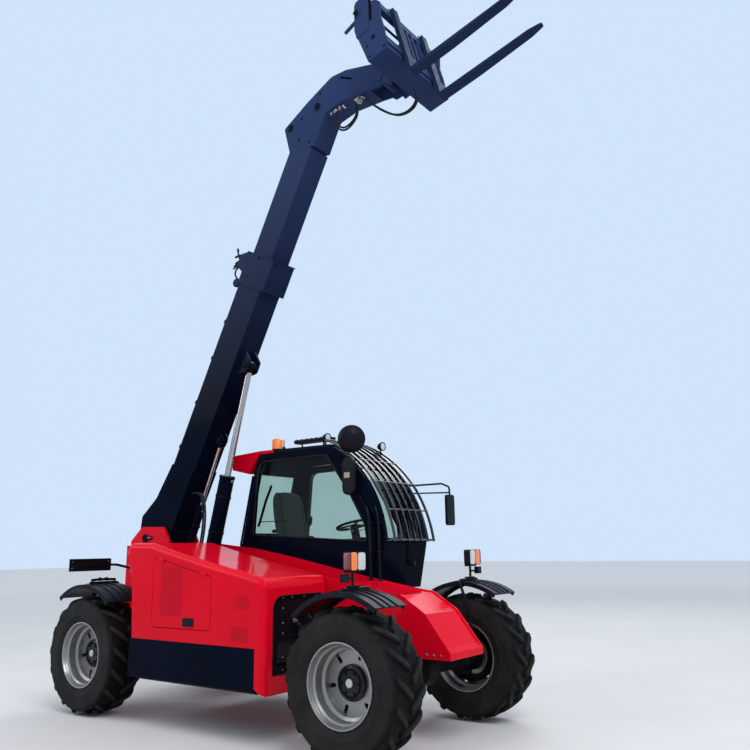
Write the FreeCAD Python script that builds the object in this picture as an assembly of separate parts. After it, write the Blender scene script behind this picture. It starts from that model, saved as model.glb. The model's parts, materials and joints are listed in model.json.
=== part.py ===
import FreeCAD, Part
import math
import os
from FreeCAD import Placement, Rotation, Vector

# Telehandler with a two-section boom raised, millimetres.
# X points forward, Y to the left, Z up. While it is built, x = 0 lies midway between the
# axles; at the end every piece moves so that the origin is under the middle of the whole box.

# Running gear
WHEELBASE = 3450.0
TRACK = 1914.0
TYRE_R = 587.5
TYRE_W = 405.0
RIM_SEAT_R = 305.0
RIM_FLANGE_R = 324.0
RIM_HALF_W = 188.0
LUG_PAIRS = 17
BEAD_HALF = 168.0
KINGPIN_OFFSET = 190.0
KINGPIN_R = 28.0
FIT = 0.05
SEAT = 0.3

# Boom and its linkages, all pivots on the centre plane
PIVOT_X = -1950.0
PIVOT_Z = 1773.0
BOOM_ANGLE = 63.0
OUTER_W = 315.0
OUTER_LEN = 3570.0
OUTER_TOP = 60.0
OUTER_BOTTOM = -320.0
OUTER_WALL = 10.0
COLLAR_LEN = 370.0
INNER_W = 275.0
INNER_TOP = 30.0
INNER_BOTTOM = -300.0
INNER_WALL = 9.0
INNER_REAR = 2180.0
INNER_END = 4900.0
BOOM_PIN_R = 45.0
HEAD_PLATE = 18.0

CYLINDER_NECK = 60.0
CYLINDER_GLAND = 60.0
LIFT_BASE = (-1190.0, 1080.0)
LIFT_EYE = (2352.0, -422.0)
LIFT_BARREL_R = 84.0
LIFT_BARREL_LEN = 1410.0
LIFT_PISTON = 1275.0
LIFT_ROD_R = 36.0
COMP_BASE = (-1600.0, 1330.0)
COMP_EYE = (1417.0, -402.0)
COMP_BARREL_R = 45.0
COMP_BARREL_LEN = 875.0
COMP_PISTON = 740.0
COMP_ROD_R = 20.0

TILT_PIVOT = (INNER_END + 845.0, -965.0)
TILT_PIN_R = 30.0
TILT_BASE = (INNER_END + 466.0, -155.0)
TILT_EYE = (10.0, 240.0)
TILT_BARREL_R = 45.0
TILT_BARREL_LEN = 600.0
TILT_PISTON = 335.0
TILT_ROD_R = 24.0
CARRIAGE_ANGLE = 15.0
CARRIAGE_HALF_W = 575.0
FORK_LEN = 1200.0
FORK_W = 110.0
FORK_T = 45.0
FORK_SPREAD = 275.0
FORK_SHANK = 600.0
HEEL = (440.0, -275.0)

# Chassis
PLATE_OUT = 278.0
PLATE_T = 20.0
EAR_OUT = 224.0
EAR_T = 30.0
CHASSIS_LOW = 450.0
AXLE_CLEAR_Z = 700.0
NOSE_REACH = 490.0
NOSE_INSET = 12.0
NOSE_SKIN = 14.0
ARCH_HALF = 285.0
ARCH_SLOPE = 100.0

# Engine hood, on the right
REAR_WHEEL_ROOM = 742.0
FRONT_WHEEL_ROOM = 857.0
HOOD_OUT = 1100.0
HOOD_IN = 292.0
HOOD_WALL = 24.0
HOOD_ROUND = 60.0
HOOD_SEAM_Z = 795.0
PANEL_HINGE_R = 8.0
PANEL_HINGE_Y = -HOOD_OUT - SEAT - PANEL_HINGE_R
PANEL_HINGE_Z = 9.0
TANK_LOW_Z = 420.0
TANK_TOP_Z = 1149.0
TANK_WALL = 12.0

# Tank and steps, on the left
TANK_REAR_ROOM = 835.0
TANK_FRONT_ROOM = 845.0

# Cab, on the left
CAB_IN = 292.0
CAB_OUT = 1050.0
CAB_WALL = 45.0
CAB_FLOOR_Z = 1215.0
CAB_DECK_Z = CAB_FLOOR_Z + 45.3
GLASS_T = 8.0
ROOF_FRONT_Z = 2724.0
ROOF_REAR_Z = 2738.0
SKYLIGHT_X = (-380.0, 330.0)
SKYLIGHT_Y = (545.0, 940.0)
DOOR_GAP = 6.0
DOOR_PIN = (-640.0, CAB_OUT + 15.0)
DOOR_PIN_R = 14.0
DOOR_HINGES_Z = (1400.0, 2200.0)

AXIS = {"x": Vector(1, 0, 0), "y": Vector(0, 1, 0), "z": Vector(0, 0, 1)}
PLANE = {
    "x": lambda a, b: Vector(0, a, b),
    "y": lambda a, b: Vector(a, 0, b),
    "z": lambda a, b: Vector(a, b, 0),
}


# Basic shapes
def box(x0, x1, y0, y1, z0, z1):
    return Part.makeBox(x1 - x0, y1 - y0, z1 - z0, Vector(x0, y0, z0))


def rod(start, end, radius):
    start, end = Vector(*start), Vector(*end)
    return Part.makeCylinder(radius, (end - start).Length, start, end - start)


def outline(axis, points):
    """Closed wire square to an axis; a point is (a, b), (a, b, corner radius) or
    (a, b, "via"), which the line passes through as an arc."""
    place = PLANE[axis]
    corners = [p for p in points if len(p) == 2 or p[2] != "via"]
    vias = {}
    count = -1
    for p in points:
        if len(p) == 3 and p[2] == "via":
            vias[count] = place(p[0], p[1])
        else:
            count += 1
    tips = [place(p[0], p[1]) for p in corners]
    starts, ends, arcs = [], [], []
    for i, corner in enumerate(corners):
        here, before, after = tips[i], tips[i - 1], tips[(i + 1) % len(tips)]
        if len(corner) == 2:
            starts.append(here)
            ends.append(here)
            arcs.append(None)
            continue
        back = (before - here).normalize()
        ahead = (after - here).normalize()
        half = back.getAngle(ahead) / 2
        run = corner[2] / math.tan(half)
        middle = here + (back + ahead).normalize() * (corner[2] / math.sin(half) - corner[2])
        starts.append(here + back * run)
        ends.append(here + ahead * run)
        arcs.append(Part.Arc(here + back * run, middle, here + ahead * run).toShape())
    edges = []
    for i in range(len(tips)):
        if arcs[i]:
            edges.append(arcs[i])
        start, end = ends[i], starts[(i + 1) % len(tips)]
        if i in vias:
            edges.append(Part.Arc(start, vias[i], end).toShape())
        elif (end - start).Length > 1e-6:
            edges.append(Part.LineSegment(start, end).toShape())
    return Part.Wire(edges)


def prism(axis, points, low, high):
    face = Part.Face(outline(axis, points))
    face.translate(AXIS[axis] * low)
    return face.extrude(AXIS[axis] * (high - low))


def grown(axis, points, growth, low, high):
    """A prism whose outline stands off from the given one by growth."""
    face = Part.Face(outline(axis, points)).makeOffset2D(growth)
    face.translate(AXIS[axis] * low)
    return face.extrude(AXIS[axis] * (high - low))


def turned(points, centre=(0, 0, 0)):
    """A solid of revolution about Y through centre, from (radius, y) points."""
    wire = outline("z", points)
    solid = Part.Face(wire).revolve(Vector(0, 0, 0), AXIS["y"], 360)
    solid.translate(Vector(*centre))
    return solid


def tube(points, radius, bend):
    """A round bar along straight runs joined by arcs of the given bend radius."""
    points = [Vector(*p) for p in points]
    edges = []
    last = points[0]
    for before, here, after in zip(points, points[1:], points[2:]):
        back = (before - here).normalize()
        ahead = (after - here).normalize()
        half = back.getAngle(ahead) / 2
        run = bend / math.tan(half)
        middle = here + (back + ahead).normalize() * (bend / math.sin(half) - bend)
        edges.append(Part.LineSegment(last, here + back * run).toShape())
        edges.append(Part.Arc(here + back * run, middle, here + ahead * run).toShape())
        last = here + ahead * run
    edges.append(Part.LineSegment(last, points[-1]).toShape())
    path = Part.Wire(edges)
    section = Part.Wire(Part.Circle(points[0], points[1] - points[0], radius).toShape())
    return path.makePipeShell([section], True, False)


def fused(first, *others):
    flat = []
    for other in others:
        flat.extend(other if isinstance(other, (list, tuple)) else [other])
    return first.multiFuse(flat).removeSplitter()


def skinned(rings):
    """A ring-shaped solid with flat faces between rings of equally many points; its last
    ring joins its first."""
    faces = []
    for low, high in zip(rings, rings[1:] + rings[:1]):
        for i, corner in enumerate(low):
            around = [low[i - 1], corner, high[i], high[i - 1]]
            bulge = (around[1] - around[0]).cross(around[2] - around[0]).dot(around[3] - around[0])
            if abs(bulge) < 1e-3:
                faces.append(Part.Face(Part.makePolygon(around + around[:1])))
                continue
            faces.append(Part.Face(Part.makePolygon([*around[:3], around[0]])))
            faces.append(Part.Face(Part.makePolygon([around[0], *around[2:], around[0]])))
    shell = Part.makeShell(faces)
    shell.sewShape()
    solid = Part.makeSolid(shell)
    if solid.Volume < 0:
        solid.reverse()
    return solid


def both_sides(shape):
    """The shape and its mirror image in the centre plane."""
    return [shape, shape.mirror(Vector(0, 0, 0), AXIS["y"])]


def placed(shape, x, z, angle):
    """Turns a shape, nose up by angle, about Y and moves its origin to (x, z)."""
    shape = shape.copy()
    shape.Placement = Placement(Vector(x, 0, z), Rotation(AXIS["y"], -angle))
    return shape


def turned_point(point, angle, origin):
    """(x, z) of a point given in a frame that stands at origin, nose up by angle."""
    cosine, sine = math.cos(math.radians(angle)), math.sin(math.radians(angle))
    x = origin[0] + point[0] * cosine - point[1] * sine
    z = origin[1] + point[0] * sine + point[1] * cosine
    return x, z


def heading(start, end):
    """Length and nose-up angle of the line from start to end."""
    dx, dz = end[0] - start[0], end[1] - start[1]
    return math.hypot(dx, dz), math.degrees(math.atan2(dz, dx))


AXLE_X = WHEELBASE / 2
AXLE_Z = TYRE_R
WHEEL_Y = TRACK / 2
KINGPIN_Y = WHEEL_Y - KINGPIN_OFFSET
NOSE_TIP_X = AXLE_X + NOSE_REACH
ARCH_X = AXLE_X - ARCH_HALF
HOOD_REAR_X = REAR_WHEEL_ROOM - AXLE_X
HOOD_FRONT_X = AXLE_X - FRONT_WHEEL_ROOM
TANK_REAR_X = TANK_REAR_ROOM - AXLE_X
TANK_FRONT_X = AXLE_X - TANK_FRONT_ROOM
STEP_X = (TANK_FRONT_X - 630, TANK_FRONT_X - 120)
PIVOT = (PIVOT_X, PIVOT_Z)
LIFT_TOP = turned_point(LIFT_EYE, BOOM_ANGLE, PIVOT)
COMP_TOP = turned_point(COMP_EYE, BOOM_ANGLE, PIVOT)
CARRIAGE_PIVOT = turned_point(TILT_PIVOT, BOOM_ANGLE, PIVOT)
TILT_FOOT = turned_point(TILT_BASE, BOOM_ANGLE, PIVOT)
TILT_TOP = turned_point(TILT_EYE, CARRIAGE_ANGLE, CARRIAGE_PIVOT)
LIFT_LEN, LIFT_ANGLE = heading(LIFT_BASE, LIFT_TOP)
COMP_LEN, COMP_ANGLE = heading(COMP_BASE, COMP_TOP)
TILT_LEN, TILT_ANGLE = heading(TILT_FOOT, TILT_TOP)


# Chassis
def chassis_side_points():
    return [
        (-2233, 560), (-2233, 1690), (-1233, 1698), (-629, 1635), (24, 1523), (618, 1406),
        (917, 1351), (NOSE_TIP_X - 685, 1248), (NOSE_TIP_X - 495, 1225, 60),
        (NOSE_TIP_X - 245, 1070, 60), (NOSE_TIP_X, 757), (NOSE_TIP_X, AXLE_CLEAR_Z),
        (ARCH_X, AXLE_CLEAR_Z, 40), (ARCH_X - ARCH_SLOPE, CHASSIS_LOW, 60),
        (ARCH_SLOPE - ARCH_X, CHASSIS_LOW, 60), (-ARCH_X, AXLE_CLEAR_Z, 40),
        (-2080, AXLE_CLEAR_Z, 40), (-2130, 560),
    ]


def chassis_frame():
    plates = both_sides(prism("y", chassis_side_points(), PLATE_OUT - PLATE_T, PLATE_OUT))
    ear_points = [
        (-2233, 1380), (-2233, 1744), (-2035, 1904, 60), (-1645, 1893, 50), (-1544, 1744, 40),
        (-1500, 1380),
    ]
    ears = both_sides(prism("y", ear_points, EAR_OUT - EAR_T, EAR_OUT))
    inner = PLATE_OUT - PLATE_T
    nose_room = box(1080, NOSE_TIP_X, -inner, inner, 740, 1400)
    nose_top = grown("y", chassis_side_points(), -NOSE_INSET, -inner, inner).common(nose_room)
    nose_top = nose_top.cut(
        grown("y", chassis_side_points(), -NOSE_INSET - NOSE_SKIN, -inner - 5, inner + 5)
    )
    lip = prism(
        "y",
        [(NOSE_TIP_X - 50, AXLE_CLEAR_Z), (NOSE_TIP_X, AXLE_CLEAR_Z), (NOSE_TIP_X, 757),
         (NOSE_TIP_X - 50, 800)],
        -inner, inner,
    )
    cross = [
        box(ARCH_X, NOSE_TIP_X - 14, -inner, inner, AXLE_CLEAR_Z, AXLE_CLEAR_Z + 14),
        box(ARCH_X - 140, ARCH_X - 120, -inner, inner, CHASSIS_LOW + 60, 1200),
        box(140 - ARCH_X, ARCH_X - 140, -inner, inner, CHASSIS_LOW, CHASSIS_LOW + 14),
        box(-2080, -ARCH_X, -inner, inner, AXLE_CLEAR_Z, AXLE_CLEAR_Z + 14),
        box(-2233, -2205, -inner, inner, 600, 1690),
        box(-2205, -1690, -inner, inner, 1380, 1400),
        box(-1690, -1520, -inner, inner, 1180, 1250),
        box(-1330, -1060, -inner, inner, 860, 940),
    ]
    webs = [box(-2190, -1530, EAR_OUT - 2, inner, 1400, 1425)]
    lift_x, lift_z = LIFT_BASE
    lift_lug = prism(
        "y",
        [(lift_x - 90, 930), (lift_x - 62, lift_z + 65, 60), (lift_x + 62, lift_z + 65, 60),
         (lift_x + 90, 930)],
        62, 92,
    )
    comp_x, comp_z = COMP_BASE
    comp_lug = prism(
        "y",
        [(comp_x - 65, 1240), (comp_x - 43, comp_z + 44, 40), (comp_x + 43, comp_z + 44, 40),
         (comp_x + 65, 1240)],
        34, 54,
    )
    pins = [
        rod((LIFT_BASE[0], -92, LIFT_BASE[1]), (LIFT_BASE[0], 92, LIFT_BASE[1]), 30),
        rod((COMP_BASE[0], -54, COMP_BASE[1]), (COMP_BASE[0], 54, COMP_BASE[1]), 20),
        rod((PIVOT_X, -EAR_OUT - 14, PIVOT_Z), (PIVOT_X, EAR_OUT + 14, PIVOT_Z), BOOM_PIN_R),
    ]
    solids = [*plates[1:], *ears, nose_top, lip, *cross, *both_sides(webs[0])]
    solids += [*both_sides(lift_lug), *both_sides(comp_lug), *pins]
    frame = fused(plates[0], solids)
    lashing = rod((NOSE_TIP_X - 575, -60, 1150), (NOSE_TIP_X - 575, -60, 1350), 22)
    return frame.cut(lashing)


def counterweight():
    half = 400
    block = prism(
        "z", [(-2305, -half, 60), (-2305, half, 60), (-2233.3, half),
              (-2233.3, -half)], 640, 1230
    )
    hitch_top = box(-2312, -2300, -70, 70, 800, 1000)
    jaws = [box(-2380, -2300, -60, 60, 830, 855), box(-2380, -2300, -60, 60, 935, 960)]
    weight = fused(block, hitch_top, jaws)
    return weight.cut(rod((-2345, 0, 800), (-2345, 0, 1000), 16))


def axle(x):
    beam = box(x - 75, x + 75, -KINGPIN_Y + 125, KINGPIN_Y - 125, AXLE_Z - 70, AXLE_Z + 70)
    bulge = turned(
        [(0, -190), (90, -190), (165, -90, 40), (165, 90, 40), (90, 190), (0, 190)],
        (x, 0, AXLE_Z),
    )
    bulge = bulge.cut(box(x - 200, x + 200, -200, 200, AXLE_CLEAR_Z - 8, AXLE_CLEAR_Z + 200))
    pads = [box(x - 70, x + 70, 200, 270, AXLE_Z + 60, AXLE_CLEAR_Z)]
    jaw = prism(
        "x",
        [
            (KINGPIN_Y - 190, AXLE_Z - 70), (KINGPIN_Y - 90, AXLE_Z - 150),
            (KINGPIN_Y + 55, AXLE_Z - 150), (KINGPIN_Y + 55, AXLE_Z - 116),
            (KINGPIN_Y - 80, AXLE_Z - 116), (KINGPIN_Y - 125, AXLE_Z - 50),
            (KINGPIN_Y - 125, AXLE_Z + 50), (KINGPIN_Y - 80, AXLE_Z + 116),
            (KINGPIN_Y + 55, AXLE_Z + 116), (KINGPIN_Y + 55, AXLE_Z + 150),
            (KINGPIN_Y - 90, AXLE_Z + 150), (KINGPIN_Y - 190, AXLE_Z + 70),
        ],
        x - 55, x + 55,
    )
    shape = fused(beam, bulge, both_sides(pads[0]), both_sides(jaw))
    bore = rod((x, KINGPIN_Y, AXLE_Z - 160), (x, KINGPIN_Y, AXLE_Z + 160), KINGPIN_R + FIT)
    return shape.cut(both_sides(bore))


def knuckle(side):
    """Built at the wheel centre of the left side, then mirrored for the right."""
    ball = Part.makeSphere(108, Vector(0, -KINGPIN_OFFSET, 0))
    ball = ball.common(box(-120, 120, -320, 0, -115, 115))
    barrel = rod((0, -KINGPIN_OFFSET, 0), (0, -90, 0), 82)
    spindle = rod((0, -95, 0), (0, -24, 0), 45)
    arm = box(70, 140, -245, -200, -20, 90)
    kingpin = rod((0, -KINGPIN_OFFSET, -146), (0, -KINGPIN_OFFSET, 146), KINGPIN_R)
    shape = fused(ball, barrel, spindle, arm, kingpin)
    return shape if side > 0 else shape.mirror(Vector(0, 0, 0), AXIS["y"])


def fender(side, front_angle, rear_angle):
    """Ribbed mudguard on the arm of its knuckle, built at the wheel centre."""
    inner_r, thick, half = 690.0, 12.0, 206.0
    band = turned(
        [(inner_r, -half), (inner_r + thick, -half), (inner_r + thick, half), (inner_r, half)]
    )
    lips = [
        turned([(inner_r - 30, y - 5), (inner_r + 4, y - 5), (inner_r + 4, y + 5), (inner_r - 30, y + 5)])
        for y in (5 - half, half - 5)
    ]
    ribs = [
        turned([(inner_r + 4, y - 12), (inner_r + thick + 9, y - 12), (inner_r + thick + 9, y + 12),
                (inner_r + 4, y + 12)])
        for y in (-90, 0, 90)
    ]
    reach = 900.0
    wedge = prism(
        "y",
        [
            (0, 0),
            (reach * math.cos(math.radians(front_angle)), reach * math.sin(math.radians(front_angle))),
            (0, reach * 1.6),
            (reach * math.cos(math.radians(rear_angle)), reach * math.sin(math.radians(rear_angle))),
        ],
        -half - 20, half + 20,
    )
    shell = fused(band, lips, ribs).common(wedge)
    top = inner_r + thick + 12
    stay = tube([(115, -230, 90 + SEAT), (115, -230, 400), (0, -230, top), (0, 120, top)], 14, 45)
    shape = fused(shell, stay)
    return shape if side > 0 else shape.mirror(Vector(0, 0, 0), AXIS["y"])


# Tread from the middle out: place across and radius of the lug tips, of the ground between
# them, degrees the lugs lag behind their inner ends, half widths at tip and root
TREAD = [
    ((10.0, TYRE_R), (10.0, 549.5), 0.0, (20.0, 27.0)),
    ((170.0, TYRE_R - 12), (160.0, 549.5), 13.3, (26.0, 34.0)),
    ((TYRE_W / 2, 522.0), (TYRE_W / 2 - 12, 535.0), 16.5, (24.0, 30.0)),
]
LUG_PITCH = 2 * math.pi / LUG_PAIRS


def wheel_point(y, radius, angle):
    return Vector(radius * math.sin(angle), y, radius * math.cos(angle))


def plain_ring(y, radius, lag):
    """Four points to a lug pitch, evenly spaced."""
    return [
        wheel_point(y, radius, (i - 1.5) * LUG_PITCH / 4 - math.radians(lag))
        for i in range(4 * LUG_PAIRS)
    ]


def tread_ring(side, station):
    """Root, tip, tip and root of each lug; the right side's lugs stand half a pitch ahead."""
    tip, root, lag, half = station
    reach = tip[1] / math.cos(half[0] / tip[1])
    across = [
        (root[0], root[1], -half[1] / root[1]), (tip[0], reach, -half[0] / tip[1]),
        (tip[0], reach, half[0] / tip[1]), (root[0], root[1], half[1] / root[1]),
    ]
    ahead = 0 if side > 0 else 2
    ring = []
    for i in range(4 * LUG_PAIRS):
        pitch, corner = divmod(i - ahead, 4)
        y, radius, turn = across[corner]
        angle = (pitch + ahead / 4) * LUG_PITCH + turn - math.radians(lag)
        ring.append(wheel_point(side * y, radius, angle))
    return ring


def tyre():
    lag = TREAD[-1][2]
    bead_r = RIM_SEAT_R / math.cos(LUG_PITCH / 8)
    left = [plain_ring(BEAD_HALF, bead_r, lag), plain_ring(TYRE_W / 2, 430, lag)]
    left += [tread_ring(1, station) for station in reversed(TREAD)]
    right = [tread_ring(-1, station) for station in TREAD]
    right += [plain_ring(-TYRE_W / 2, 430, lag), plain_ring(-BEAD_HALF, bead_r, lag)]
    return skinned([*left, plain_ring(0, TREAD[0][1][1], 0), *right])


def rim():
    """Deep dished disc wheel with its drive hub; the outer side faces +Y."""
    edge = RIM_HALF_W
    seat = RIM_SEAT_R - SEAT
    flange = RIM_FLANGE_R
    bowl = turned(
        [
            (flange, edge), (flange, edge - 14), (seat, edge - 20), (seat, 20 - edge),
            (flange, 14 - edge), (flange, -edge), (flange - 12, -edge), (seat - 10, 26 - edge),
            (seat - 14, -90), (262, -60), (256, -16), (120, -16), (120, 0), (246, 0),
            (252, 46), (276, 62), (282, 132), (seat - 9, 146), (flange - 12, edge),
        ]
    )
    hub = turned(
        [
            (0, -22), (45 + FIT, -22), (45 + FIT, -82), (124, -82), (138, -60), (138, 30, 8),
            (110, 42, 6), (34, 42), (34, 56), (28, 60), (0, 60),
        ]
    )
    holes = []
    for index in range(6):
        slot = box(-17, 17, -30, 10, 196, 236)
        slot = fused(slot, rod((0, -30, 196), (0, 10, 196), 17), rod((0, -30, 236), (0, 10, 236), 17))
        slot.rotate(Vector(0, 0, 0), AXIS["y"], 60 * index + 20)
        holes.append(slot)
    return bowl.cut(holes).fuse(hub).removeSplitter()


# Engine bay
def hood_x(share):
    """The place of a share of the hood's length, from its rear end (0) to its front (1)."""
    return HOOD_REAR_X + share * (HOOD_FRONT_X - HOOD_REAR_X)


def hood_side_points():
    return [
        (HOOD_REAR_X, HOOD_SEAM_Z), (HOOD_REAR_X - 35, 1314), (HOOD_REAR_X - 145, 1706, 90),
        (hood_x(0.142), 1700), (hood_x(0.35), 1610), (hood_x(0.585), 1517), (hood_x(0.836), 1431),
        (HOOD_FRONT_X, 1368, 90), (HOOD_FRONT_X, 413), (HOOD_FRONT_X - 106, 470),
        (HOOD_FRONT_X - 106, HOOD_SEAM_Z),
    ]


PANEL_REAR, PANEL_FRONT = hood_x(0.1826), hood_x(0.6337)
PANEL_POINTS = [
    (PANEL_REAR, 914, 20), (PANEL_REAR, 1560, 20), (PANEL_FRONT, 1382, 20), (PANEL_FRONT, 914, 20),
]
ENGINE_REAR, ENGINE_FRONT = hood_x(0.18), hood_x(0.693)


def hood_shell():
    outer = prism("y", hood_side_points(), -HOOD_OUT, -HOOD_IN)
    rim_edges = [
        edge for edge in outer.Edges
        if edge.BoundBox.YMax < 1 - HOOD_OUT and edge.BoundBox.ZMax > HOOD_SEAM_Z + 50
    ]
    outer = outer.makeFillet(HOOD_ROUND, rim_edges)
    room = grown("y", hood_side_points()[:7] + [
        (HOOD_FRONT_X, 1368, 90), (HOOD_FRONT_X, HOOD_SEAM_Z)
    ], -HOOD_WALL, -HOOD_OUT + HOOD_WALL, -HOOD_IN + 10)
    below = box(HOOD_REAR_X + 83, HOOD_FRONT_X - HOOD_WALL, -HOOD_OUT + HOOD_WALL, 0, 380, 900)
    mouth = prism(
        "x", [(-990, 565, 20), (-990, 1228, 120), (-340, 1228, 20), (-340, 565, 20)],
        HOOD_FRONT_X - 68, HOOD_FRONT_X + 32,
    )
    side_hole = grown("y", PANEL_POINTS, DOOR_GAP, -HOOD_OUT - 5, -HOOD_OUT + HOOD_WALL + 5)
    return outer.cut([room, below, mouth, side_hole])


def panel_top(x):
    return 1560 + (x - PANEL_REAR) * (1382 - 1560) / (PANEL_FRONT - PANEL_REAR)


def engine_panel():
    slab = prism("y", PANEL_POINTS, -HOOD_OUT, -HOOD_OUT + HOOD_WALL)
    latch = box(hood_x(0.458), hood_x(0.496), -HOOD_OUT - 8, -HOOD_OUT + 4, 945, 1005)
    hinges = []
    for start in (PANEL_REAR + 85, PANEL_FRONT - 130):
        heights = [panel_top(x) + PANEL_HINGE_Z for x in (start, start + 70)]
        hinges.append(rod((start, PANEL_HINGE_Y, heights[0]), (start + 70, PANEL_HINGE_Y, heights[1]),
                          PANEL_HINGE_R))
        hinges.append(prism(
            "y",
            [(start, heights[0] - 40), (start, heights[0]), (start + 70, heights[1]),
             (start + 70, heights[1] - 40)],
            -HOOD_OUT - 5, -HOOD_OUT - SEAT,
        ))
        hinges.append(box(start + 10, start + 60, -HOOD_OUT - 2, -HOOD_OUT + 2, heights[1] - 40,
                          heights[1] - 20))
    return fused(slab, latch, hinges)


def engine_block():
    block = box(ENGINE_REAR, ENGINE_FRONT, -880, -430, 760, 1330)
    inside = box(ENGINE_REAR + 30, ENGINE_FRONT - 30, -850, -460, 790, 1300)
    head = box(ENGINE_REAR + 90, ENGINE_FRONT - 100, -800, -520, 1320, 1400)
    feet = [
        box(x, x + 90, -440, -PLATE_OUT - SEAT, 900, 980)
        for x in (ENGINE_REAR + 90, ENGINE_FRONT - 150)
    ]
    return fused(block.cut(inside), head, feet)


def side_tank():
    rear, front = HOOD_REAR_X + 8, HOOD_FRONT_X - 107
    tank = prism(
        "x",
        [(-HOOD_OUT, HOOD_SEAM_Z - SEAT), (-PLATE_OUT - SEAT, HOOD_SEAM_Z - SEAT),
         (-PLATE_OUT - SEAT, TANK_LOW_Z), (-HOOD_OUT, TANK_LOW_Z, 50)],
        rear, front,
    )
    hollow = box(rear + TANK_WALL, front - TANK_WALL, -HOOD_OUT + 30, -PLATE_OUT - 20,
                 TANK_LOW_Z + 30, 740)
    sump = box(ENGINE_REAR - 50, ENGINE_FRONT + 100, -900, -400, 750, 800)
    return tank.cut([sump, hollow])


def arch_panel():
    plate = box(HOOD_FRONT_X - HOOD_WALL - 6, HOOD_FRONT_X - HOOD_WALL - SEAT, -1010, -325, 545, 1240)
    return plate.cut(box(HOOD_FRONT_X - 168, HOOD_FRONT_X + 32, -900, -600, 640, 860))


# Cab
def cab_side_points():
    return [
        (-880, CAB_FLOOR_Z), (-880, 1676), (-690, 2520), (-630, 2695, 110), (452, 2700),
        (935, 2290, "via"), (1150, 1657), (1060, CAB_FLOOR_Z),
    ]


DOOR_POINTS = [
    (-610, 1262, 40), (-610, 1700), (-530, 2590, 130), (395, 2600, 80), (880, 1880, 200),
    (890, 1262, 60),
]
DOOR_GLASS_POINTS = [
    (-535, 1720, 40), (-465, 2520, 110), (355, 2530, 60), (795, 1850, 150), (800, 1720, 30),
]
SIDE_WINDOW_POINTS = [
    (-705, 1785, 40), (-640, 2610, 150), (385, 2610, 60), (700, 2190), (900, 1860, 300),
    (930, 1690, 30),
]


def cab_front_height(x):
    """Height of the cab's curved front, plus a seat's gap, at x."""
    arc = Part.Arc(Vector(452, 0, 2700), Vector(935, 0, 2290), Vector(1150, 0, 1657)).toShape().Curve
    rise = math.sqrt(arc.Radius ** 2 - (x - arc.Center.x) ** 2)
    return arc.Center.z + rise + SEAT


def cab_frame():
    shell = prism("y", cab_side_points(), CAB_IN, CAB_OUT)
    room = grown("y", cab_side_points(), -CAB_WALL, CAB_IN + CAB_WALL, CAB_OUT - CAB_WALL)
    doorway = grown("y", DOOR_POINTS, DOOR_GAP, CAB_OUT - CAB_WALL - 5, CAB_OUT + 5)
    window = prism("y", SIDE_WINDOW_POINTS, CAB_IN - 5, CAB_IN + CAB_WALL + 5)
    front = box(464, 1300, CAB_IN + 62, CAB_OUT - 62, 1700, 2690)
    rear = box(-1000, -600, CAB_IN + 80, CAB_OUT - 80, 1800, 2480)
    top = box(*SKYLIGHT_X, *SKYLIGHT_Y, 2600, 2800)
    mounts = [
        rod((x, y, TANK_TOP_Z + SEAT), (x, y, CAB_FLOOR_Z + 10), 40) for x in (-780, 780) for y in (400, 940)
    ]
    frame = shell.cut([room, doorway, window, front, rear, top])
    knuckles = []
    for z in DOOR_HINGES_Z:
        for low, high in ((z - 28, z - SEAT), (z + 60 + SEAT, z + 88)):
            knuckles.append(rod((*DOOR_PIN, low), (*DOOR_PIN, high), DOOR_PIN_R))
            knuckles.append(box(DOOR_PIN[0] - 30, DOOR_PIN[0] + 2, CAB_OUT - 2, CAB_OUT + 16, low, high))
    return fused(frame, mounts, knuckles, cab_pipes())


def cab_pipes():
    """Hose guards beside the windscreen and behind the rear corner, with their clips."""
    side = CAB_IN - 20
    front = tube([(850, side, 2150), (985, side, 1928), (1032, side, 1749), (1002, side, 1380)], 14, 80)
    ahead = tube([(975, side, 2060), (1072, side, 1896), (1105, side, 1748), (1070, side, 1380)], 14, 80)
    clips = [
        box(x - 10, x + 10, side - 4, CAB_IN + 4, z - 16, z + 16)
        for x, z in ((1008, 1838), (1016, 1560), (1088, 1822), (1087, 1560))
    ]
    corner = tube([(-898, CAB_IN + 4, 1380), (-898, CAB_IN + 4, 1690), (-724, CAB_IN + 4, 2455)], 11, 60)
    clips += [
        box(x - 2, x + 25, CAB_IN, CAB_IN + 12, z, z + 26) for x, z in ((-900, 1500), (-806, 2085))
    ]
    return [front, ahead, corner, *clips]


def roof_height(x):
    return ROOF_FRONT_Z + (430 - x) * (ROOF_REAR_Z - ROOF_FRONT_Z) / 1050 + SEAT


def cab_roof():
    cowl = prism(
        "y",
        [(-1100, 2712), (-1085, 2545), (-813, 2484), (-760, 2560), (-640, 2705),
         (-540, 2695.4 + SEAT), (430, 2699.9 + SEAT), (430, ROOF_FRONT_Z), (-620, ROOF_REAR_Z)],
        CAB_IN + 20, CAB_OUT - 20,
    )
    return cowl.cut(box(*SKYLIGHT_X, *SKYLIGHT_Y, 2600, 2800))


def band_points(points, depth):
    """A strip of the given depth behind an arc through three (x, z) points."""
    (x0, z0), (x1, z1), (x2, z2) = points
    circle = Part.Arc(Vector(x0, 0, z0), Vector(x1, 0, z1), Vector(x2, 0, z2)).toShape().Curve
    centre = circle.Center
    scale = (circle.Radius - depth) / circle.Radius

    def inside(x, z):
        return (centre.x + (x - centre.x) * scale, centre.z + (z - centre.z) * scale)

    return [
        (x0, z0), (x1, z1, "via"), (x2, z2), inside(x2, z2), (*inside(x1, z1), "via"),
        inside(x0, z0),
    ]


WINDSCREEN_ARC = [(470, 2683), (935, 2284), (1145, 1701)]


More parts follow.
